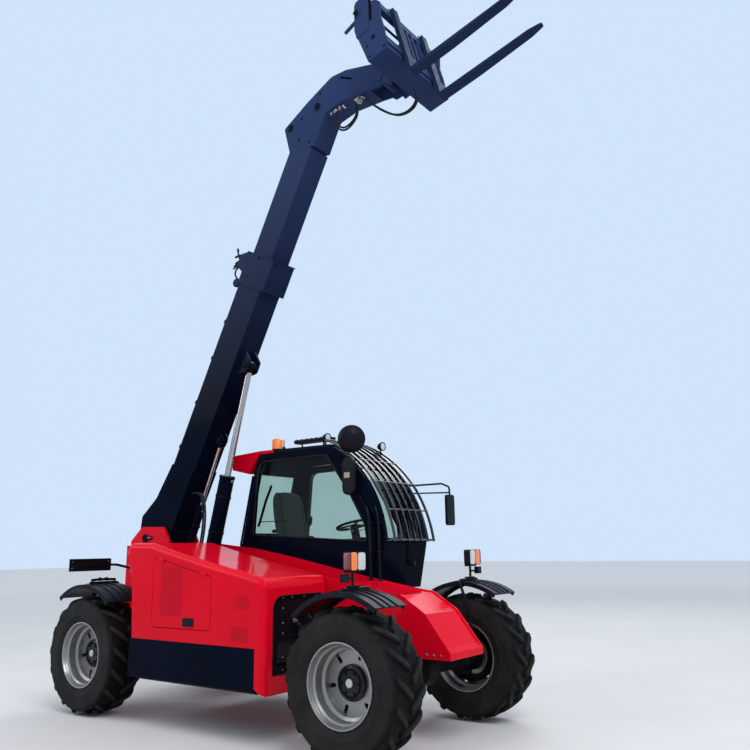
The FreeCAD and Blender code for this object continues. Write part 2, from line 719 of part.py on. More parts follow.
def cab_glass():
    gap = 0.5
    front = prism("y", band_points(WINDSCREEN_ARC, GLASS_T), CAB_IN + 62 + gap, CAB_OUT - 62 - gap)
    side = grown("y", SIDE_WINDOW_POINTS, -gap, CAB_IN + 14, CAB_IN + 14 + GLASS_T)
    slope = (2520 - 1676) / (-690 + 880)
    low, high = 1800 + gap, 2480 - gap
    x_low, x_high = -880 + (low - 1676) / slope + 12, -880 + (high - 1676) / slope + 12
    rear = prism(
        "y", [(x_low, low), (x_low + GLASS_T, low), (x_high + GLASS_T, high), (x_high, high)],
        CAB_IN + 80 + gap, CAB_OUT - 80 - gap,
    )
    top = box(SKYLIGHT_X[0] + gap, SKYLIGHT_X[1] - gap, SKYLIGHT_Y[0] + gap, SKYLIGHT_Y[1] - gap,
              2670, 2670 + GLASS_T)
    return Part.Compound([front, side, rear, top])


def cab_door():
    slab = prism("y", DOOR_POINTS, CAB_OUT - CAB_WALL, CAB_OUT)
    pane = prism("y", DOOR_GLASS_POINTS, CAB_OUT - CAB_WALL - 5, CAB_OUT + 5)
    hinges = []
    for z in DOOR_HINGES_Z:
        hinges.append(rod((*DOOR_PIN, z), (*DOOR_PIN, z + 60), DOOR_PIN_R))
        hinges.append(box(DOOR_PIN[0], -534, CAB_OUT + 1, CAB_OUT + 12, z, z + 60))
        hinges.append(box(-556, -534, CAB_OUT - 2, CAB_OUT + 2, z, z + 60))
    handle = box(760, 850, CAB_OUT - 2, CAB_OUT + 14, 1600, 1630)
    return fused(slab.cut(pane), hinges, handle)


def door_glass():
    return grown("y", DOOR_GLASS_POINTS, -0.5, CAB_OUT - 26, CAB_OUT - 26 + GLASS_T)


GUARD_ARC = [(364, 2787), (999, 2328), (1276, 1685)]


def guard_point(share):
    """A point along the guard's arc, from its top (0) to its foot (1)."""
    arc = Part.Arc(*[Vector(x, 0, z) for x, z in GUARD_ARC])
    spot = arc.value(arc.FirstParameter + share * (arc.LastParameter - arc.FirstParameter))
    return spot.x, spot.z


def cab_guard():
    depth, width = 22.0, 20.0
    first, last, count = CAB_IN + 20.0, CAB_OUT - 32.0, 7
    step = (last - first) / (count - 1)
    strips = [
        prism("y", band_points(GUARD_ARC, depth), first + step * i - width / 2,
              first + step * i + width / 2)
        for i in range(count)
    ]
    rails = []
    for share in (0.02, 0.34, 0.56, 0.78, 0.99):
        x, z = guard_point(share)
        rails.append(rod((x - 11, first - 10, z), (x - 11, last + 10, z), 9))
    stays = []
    for y in (first, last):
        stays.append(rod((360, y, roof_height(348)), (360, y, 2778), 12))
        stays.append(rod((1156, y, 1690), (1262, y, 1700), 12))
    return fused(strips[0], strips[1:], rails, stays)


def seat():
    base = box(-420, -60, 500, 840, CAB_DECK_Z, 1560)
    cushion = prism(
        "y", [(-460, 1560), (-460, 1680, 40), (60, 1690, 60), (60, 1590, 40), (40, 1560)], 430, 910
    )
    back = prism(
        "y", [(-470, 1640), (-590, 2260, 40), (-480, 2290, 40), (-340, 1670)], 450, 890
    )
    return fused(base, cushion, back)


def steering_column():
    column = rod((560, 670, 1500), (470, 670, 1830), 45)
    wheel = Part.makeTorus(185, 14)
    wheel.rotate(Vector(0, 0, 0), AXIS["y"], -15)
    wheel.translate(Vector(460, 670, 1870))
    hub = rod((470, 670, 1820), (460, 670, 1872), 40)
    spokes = []
    for angle in (90, 210, 330):
        tip = (185 * math.cos(math.radians(angle)), 185 * math.sin(math.radians(angle)), 0)
        spoke = rod((0, 0, 0), tip, 10)
        spoke.rotate(Vector(0, 0, 0), AXIS["y"], -15)
        spoke.translate(Vector(460, 670, 1870))
        spokes.append(spoke)
    dash = prism(
        "y",
        [(600, CAB_DECK_Z), (520, 1560), (640, 1660, 40), (960, 1690, 30), (1010, 1600),
         (980, CAB_DECK_Z)],
        360, 980,
    )
    return fused(column, wheel, hub, spokes, dash)


def work_lamp(x, y, z, foot):
    """Round lamp facing forward on a post, its lens sunk behind the rim."""
    can = turned(
        [(0, -45), (22, -45), (41, -22, 14), (43, 10), (50, 10), (50, 26), (44, 26), (44, 17), (0, 21)]
    )
    can.rotate(Vector(0, 0, 0), AXIS["z"], -90)
    can.translate(Vector(x, y, z))
    return fused(can, rod((x - 12, y, foot), (x - 12, y, z - 30), 9))


def roof_lamps():
    beacon_x, beacon_y = -440, 400
    beacon = turned(
        [(0, 0), (62, 0), (62, 26), (55, 30), (55, 38), (51, 42), (51, 104, 20), (36, 130, 20), (0, 134)]
    )
    beacon.rotate(Vector(0, 0, 0), AXIS["x"], 90)
    beacon.translate(Vector(beacon_x, beacon_y, roof_height(beacon_x - 62)))
    lamps = [
        work_lamp(325, 371, 2808, roof_height(304)),
        work_lamp(610, 997.5, 2745, cab_front_height(589)),
    ]
    rack = [box(-200, 330, 420, 520, 2790, 2802)]
    rack += [rod((x, 470, roof_height(x)), (x, 470, 2795), 9) for x in (-120, 200)]
    return Part.Compound([beacon, *lamps, fused(rack[0], rack[1:])])


def mirrors():
    dish = turned(
        [(0, -60), (60, -52), (110, -34), (146, 0), (146, 8), (0, 8)]
    )
    dish.rotate(Vector(0, 0, 0), AXIS["z"], 37)
    dish.rotate(Vector(0, 0, 0), Vector(0.8, 0.6, 0), 6)
    dish.translate(Vector(760, 262, 2745))
    neck_x, neck_z = guard_point(0.22)
    strip_side = CAB_IN + 10 - SEAT
    neck = tube(
        [(neck_x - 7, strip_side, neck_z - 9), (neck_x - 7, 262, neck_z - 9), (750, 262, 2745)],
        11, 12
    )
    pads = [
        box(860, 920, CAB_OUT + SEAT, CAB_OUT + 10, 2260, 2320),
        box(900, 950, CAB_OUT + SEAT, CAB_OUT + 10, 2180, 2230),
    ]
    arm = tube(
        [(890, CAB_OUT + 5, 2290), (890, 1105, 2290), (1330, 1105, 2290), (1420, 1105, 2250),
         (1432, 1105, 2100)], 10, 25
    )
    lower = tube([(925, CAB_OUT + 5, 2205), (925, 1105, 2205), (1420, 1105, 2190)], 8, 25)
    face = prism(
        "x", [(1010, 1845, 30), (1010, 2165, 30), (1158, 2165, 30), (1158, 1845, 30)], 1420, 1450
    )
    left = fused(arm, lower, face, pads)
    right_pad = box(610, 670, CAB_IN - 10, CAB_IN - SEAT, 2450, 2510)
    right_arm = tube([(640, CAB_IN - 5, 2480), (640, 236, 2480), (720, 236, 2480)], 9, 16)
    right_face = prism(
        "y", [(665, 2160, 74), (665, 2550, 74), (827, 2550, 74), (827, 2160, 74)], 208, 262
    )
    right_face = right_face.makeChamfer(12, [e for e in right_face.Edges if e.BoundBox.YLength < 1])
    right = fused(right_arm, right_face, right_pad)
    return Part.Compound([dish.fuse(neck), left, right])


def left_tank():
    body = box(TANK_REAR_X, TANK_FRONT_X, PLATE_OUT + SEAT, 1040, TANK_LOW_Z, TANK_TOP_Z)
    recess = box(*STEP_X, 860, 1100, 470, 1200)
    treads = [box(*STEP_X, 850, 1036, z, z + 25) for z in (520, 830)]
    low, high = TANK_LOW_Z + TANK_WALL, TANK_TOP_Z - TANK_WALL
    hollow = box(TANK_REAR_X + TANK_WALL, STEP_X[0] - TANK_WALL, PLATE_OUT + 20, 1040 - TANK_WALL,
                 low, high)
    behind_steps = box(STEP_X[0] - 20, TANK_FRONT_X - TANK_WALL, PLATE_OUT + 20, 860 - TANK_WALL,
                       low, high)
    return fused(body.cut([recess, hollow, behind_steps]), treads)


def plate_bracket():
    plate = box(-2106, -2100, -1100, -580, 1415, 1550)
    arm = tube([(-2090, -640, 1480), (-1900, -640, 1480), (-1700, -400, 1400), (-1700, -PLATE_OUT - SEAT, 1400)], 14, 60)
    joint = box(-2101, -2076, -670, -610, 1450, 1510)
    return fused(plate, arm, joint)


def tail_lamps():
    lamps = []
    for y in (-370, 280):
        points = [(y, 1080, 16), (y, 1180, 16), (y + 90, 1180, 16), (y + 90, 1080, 16)]
        housing = prism("x", points, -2330, -2305 - SEAT)
        lamps.append(housing.cut(grown("x", points, -6, -2340, -2325)))
    return Part.Compound(lamps)


def lamp_housing(y0, y1, z0, z1):
    """Rounded lamp body facing +X with its lens sunk behind the rim."""
    points = [(y0, z0, 22), (y0, z1, 22), (y1, z1, 22), (y1, z0, 22)]
    return prism("x", points, -10, 62).cut(grown("x", points, -7, 55, 70))


def fender_lamp(side):
    """Indicator beside a head lamp on the mudguard's stay, built at the wheel centre."""
    top = 690 + 12 + 12 + 14
    foot = box(-20, 20, -60, 80, top + SEAT, top + 14)
    post = rod((0, 0, top + 10), (0, 0, top + 125), 12)
    bar = box(-8, 14, -104, 92, top + 114, top + 138)
    shelf = box(8, 20, -95, 0, top + 60, top + 78)
    relay = box(-4, 40, -159, -89, top + 40, top + 108)
    lamps = [lamp_housing(-113, -11, top + 130, top + 278), lamp_housing(-7, 97, top + 130, top + 278)]
    shape = fused(foot, post, bar, shelf, relay, lamps)
    return shape if side < 0 else shape.mirror(Vector(0, 0, 0), AXIS["y"])


# Boom, in its own frame: X along the boom from the pivot, Z towards its upper side
def boom_pipes():
    """Steel hose pipes in clamps along the upper side."""
    pipes = [rod((420, y, OUTER_TOP + 19), (2760, y, OUTER_TOP + 19), 12) for y in (-130, -100, -70)]
    clamps = [box(s, s + 44, -148, -52, OUTER_TOP - 2, OUTER_TOP + 33) for s in (560, 1120, 1680, 2240, 2690)]
    return pipes + clamps


def boom_valves():
    """Hose guide, relief valve with its ribbed body and two elbows on the collar."""
    top = OUTER_TOP + 14
    plate = prism(
        "y",
        [(OUTER_LEN - 250, top - 4), (OUTER_LEN - 200, top + 120, 30), (OUTER_LEN - 60, top + 140, 30),
         (OUTER_LEN + 2, top - 4)],
        -160, -150,
    )
    ribs = [(44 + 5 * (i % 2), 26 * (i // 2) + 13 * (i % 2)) for i in range(8)]
    profile = [(0, 0)]
    for (radius, low), (_, high) in zip(ribs, ribs[1:]):
        profile += [(radius, low), (radius, high)]
    stack = turned([*profile, (28, ribs[-1][1]), (28, ribs[-1][1] + 26), (0, ribs[-1][1] + 26)])
    stack.rotate(Vector(0, 0, 0), AXIS["x"], 90)
    stack.translate(Vector(OUTER_LEN - 44, -96, top - 2))
    drum = rod((OUTER_LEN - 385, -158, OUTER_TOP + 62), (OUTER_LEN - 385, -30, OUTER_TOP + 62), 48)
    bead = rod((OUTER_LEN - 385, -150, OUTER_TOP + 62), (OUTER_LEN - 385, -140, OUTER_TOP + 62), 54)
    saddle = box(OUTER_LEN - 420, OUTER_LEN - 350, -130, -50, OUTER_TOP - 2, OUTER_TOP + 40)
    block = box(OUTER_LEN - 180, OUTER_LEN - 100, -142, -60, top - 2, top + 60)
    elbows = [
        tube([(s, -110, top + 50), (s, -110, top + 150), (s - 60, -110, top + 215)], 14, 30)
        for s in (OUTER_LEN - 160, OUTER_LEN - 118)
    ]
    return [plate, stack, drum, bead, saddle, block, *elbows]


def boom_outer():
    half = OUTER_W / 2
    tube_box = box(-60, OUTER_LEN, -half, half, OUTER_BOTTOM, OUTER_TOP)
    hollow = box(250, OUTER_LEN + 10, -half + OUTER_WALL, half - OUTER_WALL,
                 OUTER_BOTTOM + OUTER_WALL, OUTER_TOP - OUTER_WALL)
    cheek_points = [
        (-80, -260, 60), (-80, 175, 50), (156, 256, 30), (454, 126, 60), (922, 62),
        (1000, -318), (100, -318, 60),
    ]
    cheeks = both_sides(prism("y", cheek_points, half - 2, half + 20))
    collar_start = OUTER_LEN - COLLAR_LEN
    collar = box(collar_start, OUTER_LEN + 10, -half - 14, half + 14, OUTER_BOTTOM - 55,
                 OUTER_TOP + 14)
    lip = box(OUTER_LEN - 4, OUTER_LEN + 10, -half - 20, half + 20, OUTER_BOTTOM - 61, OUTER_TOP + 20)
    collar_hole = box(collar_start - 10, OUTER_LEN + 20, -half + 1, half - 1, OUTER_BOTTOM + 1,
                      OUTER_TOP - 1)
    play = 0.5
    pad_len = 160
    pads = [
        box(OUTER_LEN - pad_len, OUTER_LEN, -110, 110, INNER_TOP + play, OUTER_TOP - OUTER_WALL + 2),
        box(OUTER_LEN - pad_len, OUTER_LEN, -110, 110, OUTER_BOTTOM + OUTER_WALL - 2,
            INNER_BOTTOM - play),
        box(OUTER_LEN - pad_len, OUTER_LEN, INNER_W / 2 + play, half - OUTER_WALL + 2, -230, -40),
    ]
    seam = OUTER_BOTTOM + 2
    lift_s, lift_n = LIFT_EYE
    lift_cheek = prism(
        "y",
        [(lift_s - 172, seam), (lift_s - 62, lift_n - 58, 50), (lift_s + 68, lift_n - 58, 50),
         (lift_s + 178, seam)],
        62, 90,
    )
    comp_s, comp_n = COMP_EYE
    comp_cheek = prism(
        "y",
        [(comp_s - 107, seam), (comp_s - 57, comp_n - 43, 40), (comp_s + 58, comp_n - 43, 40),
         (comp_s + 113, seam)],
        32, 50,
    )
    boom = fused(
        tube_box, cheeks, collar.cut(collar_hole), lip.cut(collar_hole), both_sides(lift_cheek),
        both_sides(comp_cheek)
    )
    boom = boom.cut(hollow)
    boom = fused(boom, pads[:2], both_sides(pads[2]), boom_pipes(), boom_valves())
    bore = rod((0, -half - 30, 0), (0, half + 30, 0), BOOM_PIN_R + FIT)
    return boom.cut(bore)


def boom_inner():
    half = INNER_W / 2
    section = box(INNER_REAR, INNER_END, -half, half, INNER_BOTTOM, INNER_TOP)
    hollow = box(INNER_REAR - 5, INNER_END + 5, -half + INNER_WALL, half - INNER_WALL,
                 INNER_BOTTOM + INNER_WALL, INNER_TOP - INNER_WALL)
    tip, end = TILT_PIVOT, INNER_END
    plate_points = [
        (end - 100, INNER_TOP + 2), (end + 146, 251, 30), (end + 493, 34, 80),
        (end + 819, -201, 150), (end + 915, -387, 120), (end + 1003, -730, 60),
        (end + 980, -870, 40), (tip[0] + 55, tip[1] - 60, 60), (tip[0] - 60, tip[1] - 10, 40),
        (end + 728, -831), (end + 570, -500, 60), (end + 408, -312, 60),
        (end + 30, INNER_BOTTOM - 18),
    ]
    plates = both_sides(prism("y", plate_points, half - HEAD_PLATE, half))
    shell = prism("y", plate_points, 2 - half, half - 2)
    shell = shell.cut(grown("y", plate_points, -12, -half, half))
    open_end = [
        (end + 740, -60), (end + 1150, -60), (end + 1150, -1150), (end + 700, -1150),
        (end + 700, -860), (end + 860, -700), (end + 790, -380), (end + 700, -230),
    ]
    skins = [shell.cut(prism("y", open_end, -half, half))]
    head = fused(section.cut(hollow), plates, skins)
    pin = rod((TILT_BASE[0], -half - 12, TILT_BASE[1]), (TILT_BASE[0], half + 12, TILT_BASE[1]), 26)
    boss = rod((end + 172, -half - 12, 153), (end + 172, half + 12, 153), 26)
    cups = both_sides(rod((tip[0], half - 4, tip[1]), (tip[0], half + 7, tip[1]), 58))
    head = fused(head, pin, boss, cups)
    slot = box(end + 814, end + 838, -half - 5, half + 5, -525, -340)
    return head.cut([slot, rod((tip[0], -200, tip[1]), (tip[0], 200, tip[1]), TILT_PIN_R + FIT)])


# Carriage, in its own frame: origin at its pivot, X along the forks, Z up their shanks
def carriage():
    heel_a, heel_b = HEEL
    front = heel_a - FORK_T - SEAT
    half = CARRIAGE_HALF_W
    end_points = [
        (front - 270, heel_b + 150), (front - 20, heel_b + 150), (front - 2, heel_b + 420),
        (front - 2, heel_b + 600), (front - 320, heel_b + 560, 30),
    ]
    ends = both_sides(prism("y", end_points, half - 25, half))
    coupler_points = [
        (front - 322, heel_b + 500), (front - 322, heel_b + 606), (front - 235, heel_b + 930, 60),
        (front - 75, heel_b + 890, 60), (front - 162, heel_b + 500),
    ]
    hook_points = [
        (front - 132, heel_b + 475), (front - 45, heel_b + 800, 25), (front + 38, heel_b + 720, 25),
        (front - 50, heel_b + 405),
    ]
    lever_points = [
        (front - 455, heel_b + 680, 16), (front - 455, heel_b + 716, 16), (front - 270, heel_b + 760),
        (front - 270, heel_b + 722),
    ]
    pin_a, pin_b = front - 240, heel_b + 770
    hitch = both_sides(prism("y", coupler_points, half - 55, half + 6))
    hitch += both_sides(prism("y", hook_points, half - 25, half))
    hitch += both_sides(prism("y", lever_points, half - 40, half - 22))
    hitch += both_sides(rod((pin_a, half - 70, pin_b), (pin_a, half + 30, pin_b), 26))
    hitch += [rod((front - 90, -half + 20, b), (front - 90, half - 20, b), 14) for b in (heel_b + 460, heel_b + 620)]
    floor = prism(
        "y",
        [(front - 270, heel_b + 150), (front - 20, heel_b + 150), (front - 14, heel_b + 240),
         (front - 34, heel_b + 240), (front - 40, heel_b + 170), (front - 270, heel_b + 170)],
        -half, half,
    )
    top_rail = box(front - 60, front, -half, half, heel_b + 700, heel_b + 790)
    low_rail = box(front - 60, front, -half, half, heel_b + 200, heel_b + 290)
    posts = both_sides(box(front - 60, front, 150, 190, heel_b + 200, heel_b + 760))
    lug_points = [
        (-70, -60, 60), (-70, 60, 60), (60, 140, 30), (front - 30, 160), (front - 30, heel_b + 160),
        (60, heel_b + 152), (50, -70, 30),
    ]
    lugs = both_sides(prism("y", lug_points, 150, 175))
    eye_points = [
        (TILT_EYE[0] - 55, TILT_EYE[1] - 50, 45), (TILT_EYE[0] - 55, TILT_EYE[1] + 55, 45),
        (front - 30, TILT_EYE[1] + 110), (front - 30, TILT_EYE[1] - 160),
    ]
    eyes = both_sides(prism("y", eye_points, 40, 58))
    posts += both_sides(box(front - 60, front, 38, 60, heel_b + 250, heel_b + 760))
    pins = [
        rod((0, -190, 0), (0, 190, 0), TILT_PIN_R),
    ]
    shape = fused(ends[0], ends[1], floor, top_rail, low_rail, posts, lugs, eyes, pins, hitch)
    lifting_hole = rod((front - 140, -half - 40, heel_b + 380), (front - 140, half + 40, heel_b + 380), 18)
    return shape.cut(lifting_hole)


def forks():
    heel_a, heel_b = HEEL
    blades = []
    for y in (-FORK_SPREAD, FORK_SPREAD):
        side = prism(
            "y",
            [
                (heel_a - FORK_T, heel_b - FORK_T, 30), (heel_a - FORK_T, heel_b + FORK_SHANK),
                (heel_a, heel_b + FORK_SHANK), (heel_a, heel_b, 12), (heel_a + FORK_LEN, heel_b),
                (heel_a + FORK_LEN, heel_b - 12), (heel_a + 450, heel_b - FORK_T),
            ],
            y - FORK_W / 2, y + FORK_W / 2,
        )
        plan = prism(
            "z",
            [
                (heel_a - 100, y - FORK_W / 2), (heel_a + FORK_LEN - 140, y - FORK_W / 2),
                (heel_a + FORK_LEN, y - 30, 25), (heel_a + FORK_LEN, y + 30, 25),
                (heel_a + FORK_LEN - 140, y + FORK_W / 2), (heel_a - 100, y + FORK_W / 2),
            ],
            heel_b - 100, heel_b + FORK_SHANK + 50,
        )
        hook = box(heel_a - FORK_T - 40, heel_a - FORK_T + 1, y - 40, y + 40, heel_b + 790.5,
                   heel_b + 810)
        neck = box(heel_a - FORK_T, heel_a, y - 45, y + 45, heel_b + FORK_SHANK - 5, heel_b + 810)
        blades.append(fused(side.common(plan), neck, hook))
    return Part.Compound(blades)


# Hydraulic cylinders, in their own frames: X from the base pin to the rod eye
def cylinder_barrel(radius, length, bore, rod_r, eye_r, pin_r, half):
    foot = eye_r + CYLINDER_NECK
    body = rod((foot, 0, 0), (length, 0, 0), radius)
    collar = rod((length - 30, 0, 0), (length, 0, 0), radius + 6)
    neck = box(0, foot + 5, -half, half, -eye_r * 0.7, eye_r * 0.7)
    eye = rod((0, -half, 0), (0, half, 0), eye_r)
    shape = fused(body, collar, neck, eye)
    cavity = rod((foot + 25, 0, 0), (length - CYLINDER_GLAND, 0, 0), bore)
    guide = rod((length - CYLINDER_GLAND - 5, 0, 0), (length + 5, 0, 0), rod_r + FIT)
    hole = rod((0, -half - 5, 0), (0, half + 5, 0), pin_r + FIT)
    return shape.cut([cavity, guide, hole])


def cylinder_rod(length, start, bore, rod_r, eye_r, half):
    shaft = rod((start, 0, 0), (length, 0, 0), rod_r)
    piston = rod((start, 0, 0), (start + 60, 0, 0), bore - 2 * FIT)
    eye = rod((length, -half, 0), (length, half, 0), eye_r)
    return fused(shaft, piston, eye)


def at_wheel(shape, x, y):
    shape = shape.copy()
    shape.translate(Vector(x, y, AXLE_Z))
    return shape


CORNERS = {"fr": (AXLE_X, -1), "fl": (AXLE_X, 1), "rr": (-AXLE_X, -1), "rl": (-AXLE_X, 1)}
FENDER_ARC = {"f": (57.0, 134.0), "r": (50.0, 127.0)}


def build_nodes():
    nodes = {
        "chassis_frame": chassis_frame(),
        "counterweight": counterweight(),
        "front_axle": axle(AXLE_X),
        "rear_axle": axle(-AXLE_X),
        "hood_shell": hood_shell(),
        "engine_panel": engine_panel(),
        "engine_block": engine_block(),
        "side_tank": side_tank(),
        "arch_panel": arch_panel(),
        "cab_frame": cab_frame(),
        "cab_roof": cab_roof(),
        "cab_glass": cab_glass(),
        "cab_door": cab_door(),
        "door_glass": door_glass(),
        "cab_guard": cab_guard(),
        "seat": seat(),
        "steering_column": steering_column(),
        "roof_lamps": roof_lamps(),
        "mirrors": mirrors(),
        "left_tank": left_tank(),
        "plate_bracket": plate_bracket(),
        "tail_lamps": tail_lamps(),
    }
    wheel_tyre, wheel_rim = tyre(), rim()
    for corner, (x, side) in CORNERS.items():
        y = side * WHEEL_Y
        outward = wheel_rim if side > 0 else wheel_rim.mirror(Vector(0, 0, 0), AXIS["y"])
        nodes["tyre_" + corner] = at_wheel(wheel_tyre, x, y)
        nodes["rim_" + corner] = at_wheel(outward, x, y)
        nodes["knuckle_" + corner] = at_wheel(knuckle(side), x, y)
        nodes["fender_" + corner] = at_wheel(fender(side, *FENDER_ARC[corner[0]]), x, y)
        if corner[0] == "f":
            nodes["lamp_" + corner] = at_wheel(fender_lamp(side), x, y)
    nodes["boom_outer"] = placed(boom_outer(), *PIVOT, BOOM_ANGLE)
    nodes["boom_inner"] = placed(boom_inner(), *PIVOT, BOOM_ANGLE)
    nodes["carriage"] = placed(carriage(), *CARRIAGE_PIVOT, CARRIAGE_ANGLE)
    nodes["forks"] = placed(forks(), *CARRIAGE_PIVOT, CARRIAGE_ANGLE)
    cylinders = {
        "lift": (LIFT_BASE, LIFT_ANGLE, LIFT_LEN, LIFT_BARREL_R, LIFT_BARREL_LEN, LIFT_PISTON,
                 LIFT_ROD_R, 70, 60, 30, 56),
        "comp": (COMP_BASE, COMP_ANGLE, COMP_LEN, COMP_BARREL_R, COMP_BARREL_LEN, COMP_PISTON,
                 COMP_ROD_R, 36, 38, 20, 28),
        "tilt": (TILT_FOOT, TILT_ANGLE, TILT_LEN, TILT_BARREL_R, TILT_BARREL_LEN, TILT_PISTON,
                 TILT_ROD_R, 36, 42, 26, 34),
    }
    for name, row in cylinders.items():
        foot, angle, length, radius, barrel, piston, rod_r, bore, eye_r, pin_r, half = row
        nodes[name + "_barrel"] = placed(
            cylinder_barrel(radius, barrel, bore, rod_r, eye_r, pin_r, half), *foot, angle
        )
        nodes[name + "_rod"] = placed(
            cylinder_rod(length, piston, bore, rod_r, eye_r, half), *foot, angle
        )
    return nodes


FORK_TIP = turned_point((HEEL[0] + FORK_LEN, HEEL[1] - 12), CARRIAGE_ANGLE, CARRIAGE_PIVOT)
FRONT_X = FORK_TIP[0]
REAR_X = -2380.0
ORIGIN_X = (FRONT_X + REAR_X) / 2

os.makedirs("parts", exist_ok=True)
for node, shape in build_nodes().items():
    shape.translate(Vector(-ORIGIN_X, 0, 0))
    shape.exportStep(f"parts/{node}.step")
    bounds = shape.BoundBox
    print(node, len(shape.Solids), shape.isValid(), round(shape.Volume / 1e6, 2),
          [round(v) for v in (bounds.XMin, bounds.XMax, bounds.YMin, bounds.YMax, bounds.ZMin, bounds.ZMax)])
print("origin_x", ORIGIN_X)
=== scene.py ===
import json
from math import cos, radians, sin, tan, tau

import bmesh
import bpy
from mathutils import Matrix, Vector


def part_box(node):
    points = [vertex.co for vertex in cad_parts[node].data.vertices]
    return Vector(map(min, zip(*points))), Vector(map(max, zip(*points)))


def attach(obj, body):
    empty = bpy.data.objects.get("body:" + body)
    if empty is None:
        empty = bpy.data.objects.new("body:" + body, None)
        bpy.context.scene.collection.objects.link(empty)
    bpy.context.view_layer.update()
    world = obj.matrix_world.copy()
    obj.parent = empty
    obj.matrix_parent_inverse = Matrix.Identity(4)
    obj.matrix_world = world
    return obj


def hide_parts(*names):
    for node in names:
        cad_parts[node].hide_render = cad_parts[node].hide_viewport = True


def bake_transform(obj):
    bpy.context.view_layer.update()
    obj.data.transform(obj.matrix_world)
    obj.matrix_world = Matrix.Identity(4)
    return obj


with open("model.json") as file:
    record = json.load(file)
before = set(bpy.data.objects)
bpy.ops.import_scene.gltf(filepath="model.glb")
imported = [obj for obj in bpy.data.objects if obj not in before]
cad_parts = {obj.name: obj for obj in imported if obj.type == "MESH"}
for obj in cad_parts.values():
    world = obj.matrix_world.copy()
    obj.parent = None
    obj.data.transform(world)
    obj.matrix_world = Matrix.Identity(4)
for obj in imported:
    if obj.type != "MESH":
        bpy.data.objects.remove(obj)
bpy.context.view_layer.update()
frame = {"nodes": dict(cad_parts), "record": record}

# Row frame in metres: X forward, Y to the machine's left, Z up, origin under the middle.
# Machine places have x = 0 midway between the axles. Boom places run along the boom, across it
# and up from its axis, from the lift pivot. Carriage places start at the tilt pivot.
SCENE = bpy.context.scene
NODES = frame["nodes"]
JOINTS = {joint["name"]: Vector(joint["pos_m"]) for joint in frame["record"]["behaviour"]["joints"]}
BOOM_ANGLE = radians(63)
CARRIAGE_ANGLE = radians(15)
MACHINE = Matrix.Translation(((JOINTS["spin_fr"].x + JOINTS["spin_rr"].x) / 2, 0, 0))
BOOM = Matrix.Translation(JOINTS["boom_lift"]) @ Matrix.Rotation(-BOOM_ANGLE, 4, "Y")
CARRIAGE = Matrix.Translation(JOINTS["carriage_tilt"]) @ Matrix.Rotation(-CARRIAGE_ANGLE, 4, "Y")
AHEAD, LEFT, UP = (1, 0, 0), (0, 1, 0), (0, 0, 1)
SIDES = (-1, 1)
CORNERS = {"fr": -1, "fl": 1, "rr": -1, "rl": 1}

WHEEL_Y = 0.957
LUGS = 17
LUG_PITCH = tau / LUGS
BOOM_PIN_X, BOOM_PIN_Z = -1.95, 1.773
FRAME_OUT = 0.278
HOOD_OUT = 1.1
ARCH_FACE = 0.8437
BRACKET_FACE = -2.0998
CAB_IN, CAB_OUT = 0.292, 1.05
HEAD_START = 4.9
HEAD_HOSES_Y = (-0.085, -0.05)
HOSE_R = 0.011

# Rod's eye along and up in boom places, barrel's radius, ends of the pipe along the barrel
CYLINDERS = {
    "lift": ((2.352, -0.422), 0.084, (0.16, 1.36)),
    "comp": ((1.417, -0.402), 0.045, (0.12, 0.82)),
}
ROD_EYE_R = 0.085

# Camera from the photograph's perspective: radians, metres, and millimetres for film and lens
CAMERA_YAW, CAMERA_PITCH, CAMERA_ROLL = 2.20829, 0.221797, -0.014327
CAMERA_PLACE = (5.3212, -6.0029, 1.627)
FILM_WIDTH, FOCAL_LENGTH, CLIP_END = 36, 36.7147, 200

# Linear colours
RED, RED_DARK = (0.71, 0.002, 0.018), (0.64, 0.002, 0.015)
NAVY, NAVY_DARK = (0.0016, 0.0035, 0.011), (0.0024, 0.0045, 0.014)
# The first colour is a painted sky reflection, the lighter blue that the navy paint turns to high up; the
# second is the navy of the roof's front.
NAVY_SKY_REFLECTION, NAVY_ROOF = (0.024, 0.042, 0.115), (0.003, 0.0045, 0.012)
SILVER, SILVER_DARK = (0.34, 0.335, 0.33), (0.25, 0.245, 0.235)
CHROME, CAP_SILVER = (0.52, 0.49, 0.5), (0.55, 0.56, 0.58)
# The hub's own black, which also paints shade behind the disc, and painted shade inside the rim's barrel.
HUB_BLACK_AND_SHADE, BARREL_PAINTED_SHADE = (0.006, 0.006, 0.007), (0.2, 0.19, 0.18)
EYE_PAINT = (0.008, 0.009, 0.014)
PAINT_DUST, GRAIN_DUST = (0.2, 0.17, 0.14), (0.16, 0.15, 0.14)
# Tyre rubber, worn rubber, and painted shade for the tread's floor between the lugs.
RUBBER, RUBBER_WORN, TREAD_FLOOR_SHADE = (0.011, 0.0105, 0.011), (0.022, 0.02, 0.019), (0.003, 0.003, 0.003)
LUG_TOP = (0.012, 0.011, 0.011)

# Where a finish, a painted shade or a painted sky reflection changes, in metres: height, place along the
# machine, or distance from the wheel's axis
DUST_HEIGHTS, SKY_REFLECTION_HEIGHTS = (0.2, 1.2), (3.4, 6.6)
ROOF_BORDER = -0.42
SIDE_TO_FLOOR, FLOOR_TO_TOP = (0.505, 0.548), (0.556, 0.574)
SIDE_RINGS = (0.42, 0.47)
HUB_R, CAP_R, DISC_R = 0.1395, 0.036, 0.27
CAP_FACE, DISC_BACK = 0.0425, -0.03

# The record's slot for each finish whose own name isn't a slot
SLOTS = {
    "hose_rubber": "black_plastic", "rubber_trim": "black_plastic", "zinc": "chrome_rod",
    "mirror_glass": "chrome_rod", "decal_film": "red_paint", "pale_film": "silver_paint",
    "bronze": "engine_iron", "fork_steel": "dark_paint", "amber_lens": "lamp_lens",
    "white_lens": "lamp_lens", "red_lens": "lamp_lens",
}
LAMP_NODES = ("lamp_fr", "lamp_fl", "roof_lamps", "tail_lamps")


